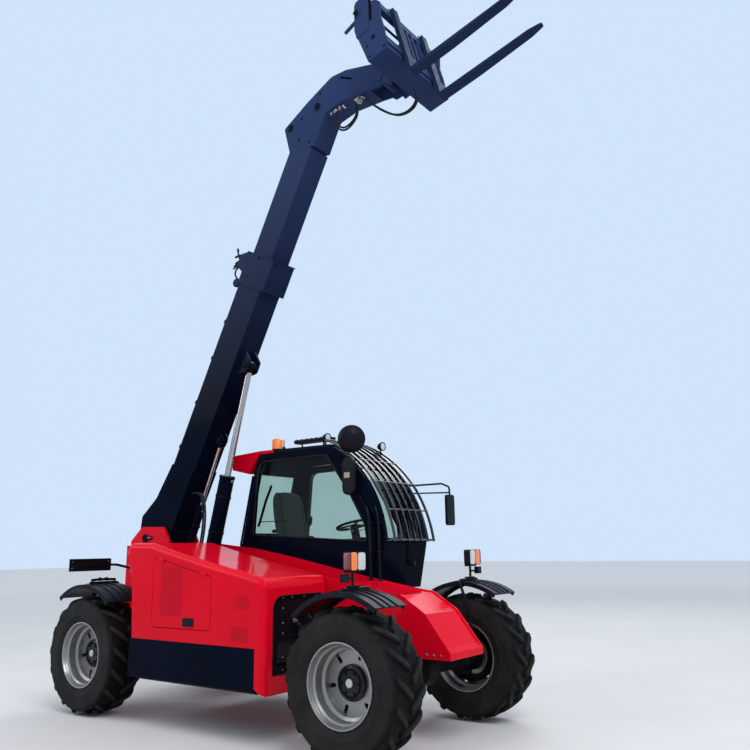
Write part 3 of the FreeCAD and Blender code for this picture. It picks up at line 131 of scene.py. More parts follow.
def set_camera():
    flat = cos(CAMERA_PITCH)
    forward = Vector((cos(CAMERA_YAW) * flat, sin(CAMERA_YAW) * flat, sin(CAMERA_PITCH)))
    right = Vector((sin(CAMERA_YAW), -cos(CAMERA_YAW), 0))
    up = right.cross(forward)
    right_rolled = right * cos(CAMERA_ROLL) + up * sin(CAMERA_ROLL)
    up_rolled = up * cos(CAMERA_ROLL) - right * sin(CAMERA_ROLL)
    data = bpy.data.cameras.new("camera")
    data.sensor_width = FILM_WIDTH
    data.lens = FOCAL_LENGTH
    data.clip_end = CLIP_END
    camera = bpy.data.objects.new("camera", data)
    SCENE.collection.objects.link(camera)
    turn = Matrix((right_rolled, up_rolled, -forward)).transposed().to_4x4()
    camera.matrix_world = Matrix.Translation(CAMERA_PLACE) @ turn
    SCENE.camera = camera


# Materials
class Graph:
    """A material's node tree, with short calls for the nodes used here."""

    def __init__(self, name):
        self.material = bpy.data.materials.new(name)
        self.material.use_nodes = True
        self.tree = self.material.node_tree
        self.shader = self.tree.nodes["Principled BSDF"]
        self.place = self.add("ShaderNodeTexCoord").outputs["Object"]
        split = self.add("ShaderNodeSeparateXYZ")
        self.put(self.place, split.inputs[0])
        self.axes = split.outputs

    def add(self, kind, **settings):
        node = self.tree.nodes.new(kind)
        for key, value in settings.items():
            setattr(node, key, value)
        return node

    def put(self, value, socket):
        """Gives a socket a node's output, a colour or a number."""
        if isinstance(value, bpy.types.NodeSocket):
            self.tree.links.new(value, socket)
        elif isinstance(value, tuple):
            socket.default_value = (*value, 1)
        else:
            socket.default_value = value

    def set(self, **values):
        """Gives the shader's sockets their values."""
        for key, value in values.items():
            self.put(value, self.shader.inputs[key.replace("_", " ")])

    def noise(self, scale, detail):
        node = self.add("ShaderNodeTexNoise")
        node.inputs["Scale"].default_value = scale
        node.inputs["Detail"].default_value = detail
        self.put(self.place, node.inputs["Vector"])
        return node.outputs["Fac"]

    def band(self, value, low, high, bottom=0.0, top=1.0):
        """Runs from bottom to top while the value runs from low to high."""
        node = self.add("ShaderNodeMapRange")
        for key, number in (("From Min", low), ("From Max", high), ("To Min", bottom), ("To Max", top)):
            node.inputs[key].default_value = number
        self.put(value, node.inputs["Value"])
        return node.outputs["Result"]

    def math(self, operation, *values):
        node = self.add("ShaderNodeMath", operation=operation)
        for value, socket in zip(values, node.inputs):
            self.put(value, socket)
        return node.outputs[0]

    def length(self, a, b):
        return self.math("SQRT", self.math("ADD", self.math("MULTIPLY", a, a), self.math("MULTIPLY", b, b)))

    def round_axis(self, centre):
        """Distance from a line along Y through centre."""
        return self.length(self.math("SUBTRACT", self.axes["X"], centre.x),
                           self.math("SUBTRACT", self.axes["Z"], centre.z))

    def mix(self, share, a, b):
        node = self.add("ShaderNodeMix", data_type="RGBA")
        for index, value in ((0, share), (6, a), (7, b)):
            self.put(value, node.inputs[index])
        return node.outputs[2]

    def drift(self, a, b, scale, detail, low=0.3, high=0.7):
        """Two colours that drift into each other."""
        return self.mix(self.band(self.noise(scale, detail), low, high), a, b)

    def relief(self, value, strength, distance, edge=0.0):
        """Bump, over edges that look rounded by edge."""
        node = self.add("ShaderNodeBump")
        node.inputs["Strength"].default_value = strength
        node.inputs["Distance"].default_value = distance
        self.put(value, node.inputs["Height"])
        if edge:
            rounding = self.add("ShaderNodeBevel", samples=4)
            rounding.inputs["Radius"].default_value = edge
            self.put(rounding.outputs["Normal"], node.inputs["Normal"])
        self.set(Normal=node.outputs["Normal"])


def painted(name, colour, dark, rough, coat, dust, shine, recolour=None, aloft=None, metallic=0.0):
    """Sprayed metal: slow drifts of shade, dust that gathers low down, faint orange peel, and where given a
    painted sky reflection that turns high parts a lighter blue.
    """
    g = Graph(name)
    base = g.drift(colour, dark, 1.7, 6, 0.35, 0.7)
    if recolour:
        base = recolour(g, base)
    # Painted sky reflection: high up, the paint turns to a lighter blue.
    if aloft:
        base = g.mix(g.band(g.axes["Z"], *SKY_REFLECTION_HEIGHTS), base, aloft)
    low = g.band(g.axes["Z"], *DUST_HEIGHTS, 1.0, 0.15)
    film = g.math("MULTIPLY", g.math("MULTIPLY", low, g.band(g.noise(9, 8), 0.45, 0.75)), dust)
    streaks = g.band(g.noise(14, 5), 0.3, 0.8, rough * 0.75, rough * 1.5)
    g.set(Base_Color=g.mix(film, base, PAINT_DUST), Metallic=metallic, Specular_IOR_Level=shine,
          Roughness=g.math("ADD", streaks, g.math("MULTIPLY", film, 0.5)),
          Coat_Weight=coat, Coat_Roughness=0.05)
    g.relief(g.noise(90, 2), 0.12, 0.0004, 0.003)
    return g.material


def moulded(name, colour, rough, grain=260, depth=0.0003, dust=0.1, edge=0.002):
    """Plastic or rubber with a fine grain."""
    g = Graph(name)
    worn = tuple(min(1, channel * 1.6 + 0.006) for channel in colour)
    base = g.drift(colour, worn, 3, 5, 0.3, 0.75)
    film = g.math("MULTIPLY", g.band(g.noise(12, 8), 0.5, 0.8), dust)
    g.set(Base_Color=g.mix(film, base, GRAIN_DUST), Specular_IOR_Level=0.08,
          Roughness=g.band(g.noise(20, 4), 0.3, 0.8, rough * 0.85, rough * 1.25))
    g.relief(g.noise(grain, 3), 0.25, depth, edge)
    return g.material


def metal(name, colour, rough, metallic=1.0, scale=40, recolour=None):
    """Bare metal with streaks in its shade and gloss."""
    g = Graph(name)
    streaks = g.noise(scale, 6)
    base = g.mix(g.band(streaks, 0.35, 0.7), colour, tuple(channel * 0.7 for channel in colour))
    g.set(Base_Color=recolour(g, base) if recolour else base, Metallic=metallic,
          Roughness=g.band(streaks, 0.3, 0.8, rough * 0.7, rough * 1.5))
    g.relief(streaks, 0.08, 0.0003, 0.002)
    return g.material


def lens(name, colour, ribs, glow=0.0):
    """Lamp lens with ribs both ways, counted per metre."""
    g = Graph(name)
    waves = [g.math("SINE", g.math("MULTIPLY", g.axes[axis], ribs * tau)) for axis in "ZY"]
    g.set(Base_Color=g.drift(colour, tuple(channel * 0.75 for channel in colour), 30, 3),
          Roughness=0.12, Coat_Weight=0.8, Coat_Roughness=0.03)
    if glow:
        g.set(Emission_Color=colour, Emission_Strength=glow)
    g.relief(g.math("ADD", *waves), 0.5, 0.0008)
    return g.material


def tread_rubber(corner):
    """Lug tops rubbed grey-brown, painted shade that blackens the tread's floor between them, and a smoother
    side wall.
    """
    g = Graph("rubber_" + corner)
    distance = g.round_axis(JOINTS["spin_" + corner])
    side = g.drift(RUBBER, RUBBER_WORN, 4, 6, 0.35, 0.7)
    # Painted shade: the tread's floor between the lugs turns black.
    shaded_ground = g.mix(g.band(distance, *SIDE_TO_FLOOR), side, TREAD_FLOOR_SHADE)
    top = g.drift(LUG_TOP, RUBBER_WORN, 11, 6, 0.35, 0.7)
    g.set(Base_Color=g.mix(g.band(distance, *FLOOR_TO_TOP), shaded_ground, top), Specular_IOR_Level=0.12,
          Roughness=g.band(g.noise(20, 4), 0.3, 0.8, 0.6, 0.85))
    inner, outer = SIDE_RINGS
    ringed = g.math("MULTIPLY", g.math("LESS_THAN", distance, outer), g.math("GREATER_THAN", distance, inner))
    rings = g.math("MULTIPLY", g.math("SINE", g.math("MULTIPLY", distance, 700)), ringed)
    g.relief(g.math("ADD", rings, g.noise(140, 3)), 0.3, 0.0006, 0.002)
    return g.material


def glass(name):
    """Faintly tinted, with a thin smear."""
    g = Graph(name)
    g.set(Base_Color=g.drift((0.66, 0.75, 0.68), (0.62, 0.71, 0.64), 2.5, 5), Transmission_Weight=1.0,
          IOR=1.18, Roughness=g.band(g.noise(7, 6), 0.45, 0.75, 0.006, 0.03))
    return g.material


def woven(name):
    """Seat cloth."""
    g = Graph(name)
    threads = [g.math("SINE", g.math("MULTIPLY", g.axes[axis], 2600)) for axis in "XY"]
    g.set(Base_Color=g.drift((0.02, 0.02, 0.022), (0.035, 0.035, 0.038), 60, 5),
          Roughness=0.85, Sheen_Weight=0.3, Sheen_Roughness=0.5)
    g.relief(g.math("ADD", *threads), 0.3, 0.0006)
    return g.material


def rod_eye(name):
    """The welded eye at the end of a chrome rod is painted."""
    eye = rod_end(name)

    def recolour(g, base):
        return g.mix(g.math("LESS_THAN", g.round_axis(eye), ROD_EYE_R), base, EYE_PAINT)
    return recolour


def roof_front(g, base):
    """The roof is red behind and navy over the windows."""
    border = (MACHINE @ Vector((ROOF_BORDER, 0, 0))).x
    return g.mix(g.math("GREATER_THAN", g.axes["X"], border), base, NAVY_ROOF)


def wheel_hub(corner):
    """Black hub and silver cap on a silver disc wheel, with painted shade: black behind the disc, where it
    shows through the slots, and the rim's barrel darker towards the tyre.
    """
    side = CORNERS[corner]

    def recolour(g, base):
        distance = g.round_axis(JOINTS["spin_" + corner])
        reach = g.math("MULTIPLY", g.math("SUBTRACT", g.axes["Y"], side * WHEEL_Y), side)
        hub = g.math("LESS_THAN", distance, HUB_R)
        cap = g.math("MULTIPLY", g.math("LESS_THAN", distance, CAP_R),
                     g.math("GREATER_THAN", reach, CAP_FACE))
        # Painted shade: behind the disc, seen through the slots, the silver is painted black like the hub.
        back = g.math("MULTIPLY", g.math("LESS_THAN", distance, DISC_R),
                      g.math("LESS_THAN", reach, DISC_BACK))
        black = g.mix(g.math("MAXIMUM", hub, back), base, HUB_BLACK_AND_SHADE)
        # Painted shade deep in the rim's barrel, darker towards the tyre and fading out towards the outer
        # lip.
        barrel = g.math("MULTIPLY", g.band(distance, 0.24, 0.285), g.band(reach, 0.05, 0.15, 0.55, 0.0))
        return g.mix(cap, g.mix(barrel, black, BARREL_PAINTED_SHADE), CAP_SILVER)
    return recolour


def make_materials():
    """Painted finishes give colour, drift, roughness, coat, dust and shine."""
    made = {}

    def keep(kind, name, *values, **settings):
        made[name] = kind(name, *values, **settings)

    keep(painted, "red_paint", RED, RED_DARK, 0.12, 0.06, 0.01, 0.05)
    keep(painted, "cab_roof", RED, RED_DARK, 0.12, 0.06, 0.01, 0.05, recolour=roof_front)
    keep(painted, "decal_film", (0.56, 0.003, 0.018), (0.5, 0.002, 0.014), 0.2, 0.06, 0.01, 0.05)
    # The navy paint takes a painted sky reflection high up.
    keep(painted, "dark_paint", NAVY, NAVY_DARK, 0.14, 0.0, 0.005, 0.02, aloft=NAVY_SKY_REFLECTION)
    keep(painted, "black_steel", (0.005, 0.005, 0.007), (0.008, 0.008, 0.01), 0.3, 0.0, 0.02, 0.03)
    keep(painted, "cab_guard", (0.004, 0.004, 0.006), (0.006, 0.006, 0.009), 0.16, 0.5, 0.02, 0.5)
    # The forks' lighter blue is their dark paint plus a painted sky reflection.
    keep(painted, "fork_steel", (0.01, 0.022, 0.062), (0.013, 0.025, 0.06), 0.34, 0.0, 0.0, 0.04)
    for corner in CORNERS:
        keep(painted, "rim_" + corner, SILVER, SILVER_DARK, 0.34, 0.2, 0.2, 0.5,
             recolour=wheel_hub(corner), metallic=0.75)
        made["tyre_" + corner] = tread_rubber(corner)
    keep(moulded, "black_plastic", (0.004, 0.005, 0.009), 0.34, dust=0.01)
    keep(moulded, "rubber_trim", (0.008, 0.008, 0.008), 0.55, grain=300, depth=0.0002, dust=0.05, edge=0.0)
    keep(moulded, "hose_rubber", (0.003, 0.005, 0.01), 0.4, grain=900, dust=0.0, edge=0.0)
    keep(moulded, "pale_film", (0.26, 0.25, 0.19), 0.4)
    keep(metal, "chrome_rod", CHROME, 0.14)
    for name in CYLINDERS:
        keep(metal, name + "_rod", CHROME, 0.14, recolour=rod_eye(name))
    keep(metal, "zinc", (0.36, 0.36, 0.35), 0.35)
    keep(metal, "engine_iron", (0.04, 0.04, 0.042), 0.6, 0.5)
    keep(metal, "bronze", (0.16, 0.09, 0.05), 0.5, 0.6)
    keep(metal, "mirror_glass", (0.8, 0.84, 0.88), 0.03, scale=3)
    keep(lens, "amber_lens", (0.95, 0.22, 0.01), 130, 0.15)
    keep(lens, "white_lens", (0.72, 0.74, 0.76), 150)
    keep(lens, "red_lens", (0.22, 0.012, 0.008), 130)
    keep(glass, "cab_glass")
    keep(woven, "seat_cover")
    return made


def dress_cad():
    """Gives each solid the finish of its own name, or else of its slot in the record."""
    slots = {part["node"]: part["material_slot"] for part in frame["record"]["subparts"]}
    slots.update(dict.fromkeys(LAMP_NODES, "black_plastic"))
    for name, node in NODES.items():
        node.data.materials.clear()
        node.data.materials.append(MATERIALS[name if name in MATERIALS else slots[name]])


# Mesh building
def trimmed(low, high, trim):
    """Levels and insets of a bar whose two rims are cut by trim."""
    return (low, trim), (low + trim, 0), (high - trim, 0), (high, trim)


def circle(count):
    """Cosines and sines of turns evenly round a circle."""
    return [(cos(tau * i / count), sin(tau * i / count)) for i in range(count)]


def box_ring(x0, y0, x1, y1, cut, z):
    return [
        (x0 + cut, y0, z), (x1 - cut, y0, z), (x1, y0 + cut, z), (x1, y1 - cut, z),
        (x1 - cut, y1, z), (x0 + cut, y1, z), (x0, y1 - cut, z), (x0, y0 + cut, z),
    ]


def rounded(corners, steps=6):
    """A closed outline with each (a, b, radius) corner as an arc."""
    points = []
    count = len(corners)
    for i, (a, b, radius) in enumerate(corners):
        here = Vector((a, b))
        back = (Vector(corners[i - 1][:2]) - here).normalized()
        ahead = (Vector(corners[(i + 1) % count][:2]) - here).normalized()
        half = back.angle(ahead) / 2
        run = radius / tan(half)
        centre = here + (back + ahead).normalized() * (radius / sin(half))
        start, end = here + back * run - centre, here + ahead * run - centre
        sweep = start.angle_signed(end)
        for k in range(steps + 1):
            turn = Matrix.Rotation(-sweep * k / steps, 2)
            points.append(tuple(centre + turn @ start))
    return points


def round_box(a0, b0, a1, b1, radius, steps=6):
    """The outline of a box with round corners."""
    return rounded([(a0, b0, radius), (a0, b1, radius), (a1, b1, radius), (a1, b0, radius)], steps)


def smooth_route(knots, steps=8):
    """Points along the NURBS line that has knots as its control points."""
    data = bpy.data.curves.new("route", "CURVE")
    data.dimensions = "3D"
    data.resolution_u = steps
    line = data.splines.new("NURBS")
    line.points.add(len(knots) - 1)
    for point, knot in zip(line.points, knots):
        point.co = (*knot, 1)
    line.order_u = 3
    line.use_endpoint_u = True
    holder = bpy.data.objects.new("route", data)
    mesh = bpy.data.meshes.new_from_object(holder)
    points = [vertex.co.copy() for vertex in mesh.vertices]
    bpy.data.meshes.remove(mesh)
    bpy.data.objects.remove(holder)
    bpy.data.curves.remove(data)
    return points


class Piece:
    """Collects mesh parts in one local frame and makes them one object on a body."""

    def __init__(self, name, material, body="chassis", place=MACHINE, slot=None):
        self.name, self.body, self.material, self.place = name, body, material, place
        self.slot = slot or SLOTS.get(material, material)
        self.mesh = bmesh.new()

    def bridge(self, a, b):
        for i, corner in enumerate(a):
            j = (i + 1) % len(a)
            self.mesh.faces.new((corner, a[j], b[j], b[i]))

    def loft(self, rings, loop=False):
        """Skins rings of points; the last ring joins the first in a loop, or else both are capped."""
        made = [[self.mesh.verts.new(point) for point in ring] for ring in rings]
        for a, b in zip(made, made[1:]):
            self.bridge(a, b)
        if loop:
            self.bridge(made[-1], made[0])
        else:
            self.mesh.faces.new(made[0])
            self.mesh.faces.new(list(reversed(made[-1])))
        return self

    def lathe(self, profile, base, axis, sides=32, hoop=False):
        """Turns (radius, height) points about an axis from base; a hoop's profile closes on itself."""
        turn = Vector(UP).rotation_difference(Vector(axis).normalized()).to_matrix()
        rings = []
        for radius, height in profile:
            rings.append([Vector(base) + turn @ Vector((radius * c, radius * s, height))
                          for c, s in circle(sides)])
        return self.loft(rings, loop=hoop)

    def block(self, low, high, trim=0.003):
        """A box with its edges cut by trim."""
        rings = []
        for z, inset in trimmed(low[2], high[2], trim):
            rings.append(box_ring(low[0] + inset, low[1] + inset, high[0] - inset, high[1] - inset, trim, z))
        return self.loft(rings)

    def slab(self, outline, axis, low, high, trim=0.002):
        """An outline of (a, b) points given thickness along an axis, with its rims cut."""
        middle = Vector((sum(p[0] for p in outline), sum(p[1] for p in outline))) / len(outline)
        rings = []
        for level, inset in trimmed(low, high, trim):
            ring = []
            for point in outline:
                away = Vector(point) - middle
                a, b = middle + away * (1 - inset / away.length)
                ring.append({"x": (level, a, b), "y": (a, level, b)}[axis])
            rings.append(ring)
        return self.loft(rings)

    def tube(self, points, radius, sides=12, closed=False):
        """A round bar that follows points."""
        points = [Vector(p) for p in points]
        count = len(points)
        up = None
        rings = []
        for i, p in enumerate(points):
            before = points[i - 1] if i or closed else p
            after = points[(i + 1) % count] if i < count - 1 or closed else p
            way = (after - before).normalized()
            if up is None:
                up = way.orthogonal().normalized()
            up = (up - way * up.dot(way)).normalized()
            side = way.cross(up)
            rings.append([p + (up * c + side * s) * radius for c, s in circle(sides)])
        return self.loft(rings, loop=closed)

    def bolts(self, places, axis, size):
        """Washers and hexagon heads, all along one axis."""
        washer = [(size * 1.3, -0.001), (size * 1.3, size * 0.2), (size * 1.1, size * 0.28)]
        head = [(size * 0.94, size * 0.2), (size * 0.94, size * 0.75), (size * 0.8, size * 0.9)]
        for place in places:
            self.lathe(washer, place, axis, 20).lathe(head, place, axis, 6)
        return self

    def lathe_pair(self, profile, place, sides=32, hoop=False):
        """The same turned part on the right and on the left, facing out."""
        for side in SIDES:
            self.lathe(profile, (place[0], side * place[1], place[2]), (0, side, 0), sides, hoop)
        return self

    def block_pair(self, low, high, trim=0.003):
        """A box on the left and its mirror image on the right."""
        self.block((low[0], -high[1], low[2]), (high[0], -low[1], high[2]), trim)
        return self.block(low, high, trim)

    def bolt_pairs(self, places, size):
        for side in SIDES:
            self.bolts([(x, side * y, z) for x, y, z in places], (0, side, 0), size)
        return self

    def done(self, smooth=35.0):
        """Makes the object; edges that bend by less than smooth degrees are shaded round."""
        mesh = self.mesh
        bmesh.ops.remove_doubles(mesh, verts=mesh.verts, dist=1e-6)
        bmesh.ops.recalc_face_normals(mesh, faces=mesh.faces)
        for face in mesh.faces:
            face.smooth = True
        for edge in mesh.edges:
            if len(edge.link_faces) == 2:
                edge.smooth = edge.calc_face_angle(0) < radians(smooth)
        mesh.transform(self.place)
        data = bpy.data.meshes.new(self.name)
        mesh.to_mesh(data)
        mesh.free()
        data.materials.append(MATERIALS[self.material])
        piece = bpy.data.objects.new(self.name, data)
        SCENE.collection.objects.link(piece)
        if self.body:
            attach(piece, self.body)
        return piece


# Wheels
# Place across, radius of the lug tips and of the ground between, lag in degrees, half widths
TREAD = [
    (0.006, 0.550, 0.5495, 0.0, 0.020, 0.027),
    (0.012, 0.5845, 0.5495, 0.0, 0.020, 0.027),
    (0.017, 0.5875, 0.5495, 0.4, 0.020, 0.027),
    (0.090, 0.5845, 0.5495, 6.6, 0.023, 0.030),
    (0.160, 0.5775, 0.5485, 12.7, 0.026, 0.034),
    (0.173, 0.5735, 0.5465, 13.8, 0.026, 0.034),
    (0.186, 0.5560, 0.5400, 15.0, 0.025, 0.032),
    (0.197, 0.5320, 0.5240, 16.0, 0.024, 0.030),
    (0.2025, 0.5100, 0.5060, 16.5, 0.024, 0.030),
]
# Place across and radius, from the shoulder to the bead
SIDEWALL = [
    (0.2020, 0.490), (0.2025, 0.455), (0.2025, 0.430), (0.2010, 0.405), (0.2022, 0.402),
    (0.2020, 0.394), (0.2000, 0.391), (0.1960, 0.372), (0.1900, 0.352), (0.1850, 0.342),
    (0.1862, 0.339), (0.1845, 0.334), (0.1760, 0.329), (0.1700, 0.318), (0.1680, 0.3062),
]


def lug_offsets(tip, root):
    """Turns from a lug's middle and share of its height, over one pitch."""
    floor = (LUG_PITCH / 2 - root) / 4
    half = [(tip - 0.006, 1.0), (tip, 0.93), (root, 0.0)]
    half += [(root + floor * k, 0.0) for k in (1, 2, 3)]
    return [(-turn, share) for turn, share in reversed(half)] + half + [(LUG_PITCH / 2, 0.0)]


def tread_rings(side):
    """Rings from the middle of the tread to the bead of one side."""
    start = 0.0 if side > 0 else LUG_PITCH / 2
    rings = []
    for y, tip, root, lag, tip_half, root_half in TREAD:
        offsets = lug_offsets(tip_half / tip, root_half / root)
        ring = []
        for pitch in range(LUGS):
            for turn, share in offsets:
                angle = start + pitch * LUG_PITCH + turn - radians(lag)
                radius = root + (tip - root) * share
                ring.append((radius * sin(angle), side * y, radius * cos(angle)))
        rings.append(ring)
    count, middle = len(ring), len(offsets) // 2
    for y, radius in SIDEWALL:
        angles = [start + (i - middle) * tau / count - radians(lag) for i in range(count)]
        rings.append([(radius * sin(a), side * y, radius * cos(a)) for a in angles])
    return rings


def make_tyre(corner):
    """Farm tread: two rows of bars that lean back and overlap half a pitch."""
    left, right = tread_rings(1), tread_rings(-1)
    shift = len(left[0]) // (2 * LUGS)
    right = [ring[-shift:] + ring[:-shift] for ring in right]
    piece = Piece("tread_" + corner, "tyre_" + corner, "wheel_" + corner,
                  Matrix.Translation(JOINTS["spin_" + corner]), "tyre_rubber")
    tread = piece.loft([*reversed(left), *right], loop=True).done(40)
    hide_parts("tyre_" + corner)


def make_wheel_fittings(corner):
    side = CORNERS[corner]
    body, centre, out = "wheel_" + corner, (0, 0, 0), (0, side, 0)
    place = Matrix.Translation(JOINTS["spin_" + corner])
    nuts = Piece("wheel_nuts_" + corner, "black_steel", body, place)
    nut_circle, face = 0.085, side * 0.042
    nuts.bolts([(nut_circle * c, face, nut_circle * s) for c, s in circle(6)], out, 0.01)
    nuts.lathe([(0.094, 0.0425), (0.098, 0.047), (0.106, 0.047), (0.112, 0.0445), (0.112, 0.04)],
               centre, out, 48, hoop=True).done()
    # A black ring behind the disc's slots is painted shade, so that the slots read dark.
    shade = Piece("slot_painted_shade_" + corner, "black_steel", body, place)
    shade.lathe([(0.18, -0.044), (0.246, -0.044), (0.25, -0.042), (0.25, -0.038), (0.18, -0.036)],
                centre, out, 48, hoop=True).done()
    valve = Piece("valve_" + corner, "zinc", body, place, "silver_paint")
    valve.lathe([(0.006, 0), (0.006, 0.03), (0.008, 0.031), (0.008, 0.045), (0.005, 0.047)],
                (0.262, side * 0.052, 0.02), (-0.35, side, 0), 14).done()


def make_fender_clamp(corner):
    """A bar clamped across the top of a rear fender."""
    side = CORNERS[corner]
    x, low, high = 0.02, 0.7425, 0.7475
    clamp = Piece("fender_clamp_" + corner, "black_steel", "knuckle_" + corner,
                  Matrix.Translation(JOINTS["spin_" + corner]), "black_plastic")
    clamp.tube(smooth_route([(x, side * 0.12, low), (x, side * 0.06, high), (x, -side * 0.1, high),
                             (x, -side * 0.17, low)], 5), 0.014)
    for y in (-0.06, 0.02):
        clamp.block((x - 0.026, side * y - 0.014, 0.7325), (x + 0.026, side * y + 0.014, 0.765), 0.004)
        clamp.bolts([(x, side * y, 0.765)], UP, 0.007)
    clamp.done()


# Boom and carriage
def rod_end(name):
    """Where the lift or compensating rod's eye is at rest."""
    (along, up), _, _ = CYLINDERS[name]
    return BOOM @ Vector((along, 0, up))


def make_boom_pins():
    """Pin heads and keeper plates at the boom's pivot."""
    x, z, face, keeper = BOOM_PIN_X, BOOM_PIN_Z, 0.238, 0.012
    plates = Piece("boom_pin_plates", "black_steel")
    plates.lathe_pair([(0.047, 0), (0.047, 0.01), (0.042, 0.014), (0.018, 0.014), (0.016, 0.009), (0, 0.009)],
                      (x, face, z), 40)
    plates.block_pair((x + 0.028, face, z - 0.022), (x + 0.112, face + keeper, z + 0.022), 0.004)
    plates.done()
    screws = Piece("pin_keeper_bolts", "zinc", slot="black_steel")
    screws.bolt_pairs([(x + run, face + keeper - 0.0005, z) for run in (0.064, 0.096)], 0.008).done()


def make_boom_details():
    collar_side = 0.1715
    bolts = Piece("boom_bolts", "black_steel", "boom_outer", BOOM, "dark_paint")
    bolts.bolt_pairs([(3.543, collar_side, -0.133)], 0.012)
    bolts.bolt_pairs([(3.443, collar_side, 0.02)], 0.008)
    bolts.block_pair((3.29, collar_side - 0.002, -0.05), (3.304, collar_side + 0.004, 0.06), 0.001)
    bolts.bolts([(s, y, -0.375) for s in (3.3, 3.53) for y in (-0.12, 0.12)], (0, 0, -1), 0.01)
    bolts.done()
    caps = Piece("boom_pin_caps", "black_steel", "boom_outer", BOOM)
    for name, reach in (("lift", 0.09), ("comp", 0.05)):
        (along, up), _, _ = CYLINDERS[name]
        caps.lathe_pair([(0.04, 0), (0.04, 0.008), (0.034, 0.012), (0, 0.012)], (along, reach, up))
    caps.done()
    pads = Piece("wear_pads", "black_plastic", "boom_outer", BOOM)
    pads.block_pair((3.575, 0.14, -0.23), (3.592, 0.152, -0.04)).done()
    valves = Piece("valve_fittings", "zinc", "boom_outer", BOOM)
    for s in (3.345, 3.387):
        valves.lathe([(0.017, 0), (0.02, 0.004), (0.02, 0.02), (0.012, 0.026), (0.01, 0.042), (0, 0.046)],
                     (s, -0.11, 0.285), (-0.68, 0, 0.73), 6)
    valves.lathe([(0.022, 0), (0.022, 0.02), (0.016, 0.025), (0.016, 0.04), (0, 0.043)],
                 (3.526, -0.096, 0.212), UP, 6)
    valves.done()


def make_collar_lines():
    """Short lines on top of the collar, each ending in a fitting."""
    lines = Piece("collar_lines", "hose_rubber", "boom_outer", BOOM)
    for knots, radius in (
        ([(3.43, -0.1, 0.19), (3.455, -0.112, 0.25), (3.5, -0.115, 0.3), (3.54, -0.112, 0.328)], 0.011),
        ([(3.45, -0.08, 0.18), (3.505, -0.095, 0.225), (3.51, -0.1, 0.285), (3.475, -0.104, 0.322)], 0.01),
        ([(3.45, -0.06, 0.06), (3.49, -0.07, 0.11), (3.53, -0.085, 0.118), (3.545, -0.085, 0.085)], 0.01),
        ([(3.2, -0.105, 0.06), (3.235, -0.13, 0.18), (3.29, -0.13, 0.235), (3.345, -0.11, 0.24)], 0.01),
    ):
        lines.tube(smooth_route(knots, 6), radius, 10)
        nut, neck = radius * 1.5, radius * 1.15
        lines.lathe([(nut, 0), (nut, 0.016), (neck, 0.02), (neck, 0.03)],
                    knots[-1], Vector(knots[-1]) - Vector(knots[-2]), 6)
    lines.done()


def make_cylinder_lines(name):
    """Steel pipe, straps and port fittings along a cylinder's barrel."""
    _, radius, (low, high) = CYLINDERS[name]
    foot = JOINTS[name + "_swing"]
    along = (rod_end(name) - foot).normalized()
    place = Matrix((Vector(LEFT).cross(along), LEFT, along)).transposed().to_4x4()
    place.translation = foot
    sunk, skin, out = radius - 0.004, radius - 0.002, radius + 0.02
    line = Piece(name + "_pipe", "black_steel", name + "_barrel", place, "dark_paint")
    line.tube(smooth_route([
        (sunk, 0, low), (out, 0, low + 0.01), (out, 0, low + 0.05),
        (out, 0, high - 0.05), (out, 0, high - 0.01), (sunk, 0, high),
    ], 5), 0.009, 10)
    for at in (low + 0.2, (low + high) / 2, high - 0.2):
        line.block((sunk, -0.016, at), (out + 0.012, 0.016, at + 0.03))
        line.lathe([(skin, 0), (skin + 0.006, 0.002), (skin + 0.006, 0.026), (skin, 0.028)],
                   (0, 0, at), UP, 40, hoop=True)
    line.done()
    ports = Piece(name + "_ports", "zinc", name + "_barrel", place)
    for at in (low, high):
        ports.lathe([(0.018, -0.005), (0.018, 0.014), (0.014, 0.018), (0.014, 0.024)],
                    (skin, 0, at), AHEAD, 6)
    ports.done()


def make_head_details():
    face = 0.1375
    bolts = Piece("head_bolts", "black_steel", "boom_inner", BOOM, "dark_paint")
    spots = ((0.06, -0.05), (0.06, -0.22), (0.3, 0.03), (0.62, -0.12))
    bolts.bolt_pairs([(HEAD_START + s, face, n) for s, n in spots], 0.01).done()
    caps = Piece("head_pin_caps", "black_steel", "boom_inner", BOOM)
    for s, n in ((0.466, -0.155), (0.172, 0.153)):
        caps.lathe_pair([(0.026, 0), (0.04, 0), (0.04, 0.006), (0.032, 0.01), (0, 0.01)],
                        (HEAD_START + s, face + 0.012, n))
    caps.done()
    make_head_fittings()
    loops = Piece("head_loops", "hose_rubber", "boom_inner", BOOM)
    for shift, drop in ((0, 0.036), (-0.028, 0.014)):
        loops.tube(smooth_route([
            (5.34, -0.115, -0.47), (5.25 + shift, -0.105, -0.5), (5.19 + shift, -0.1, -0.57),
            (5.196 + shift, -0.1, drop - 0.7), (5.296 + shift / 2, -0.09, drop - 0.765),
            (5.4, -0.08, drop - 0.76), (5.47, -0.07, -0.66),
        ]), HOSE_R)
    loops.done()
    slots = Piece("slot_backs", "black_steel", "boom_inner", BOOM, "dark_paint")
    slots.block_pair((5.69, 0.101, -0.55), (5.76, 0.109, -0.31), 0.002).done()


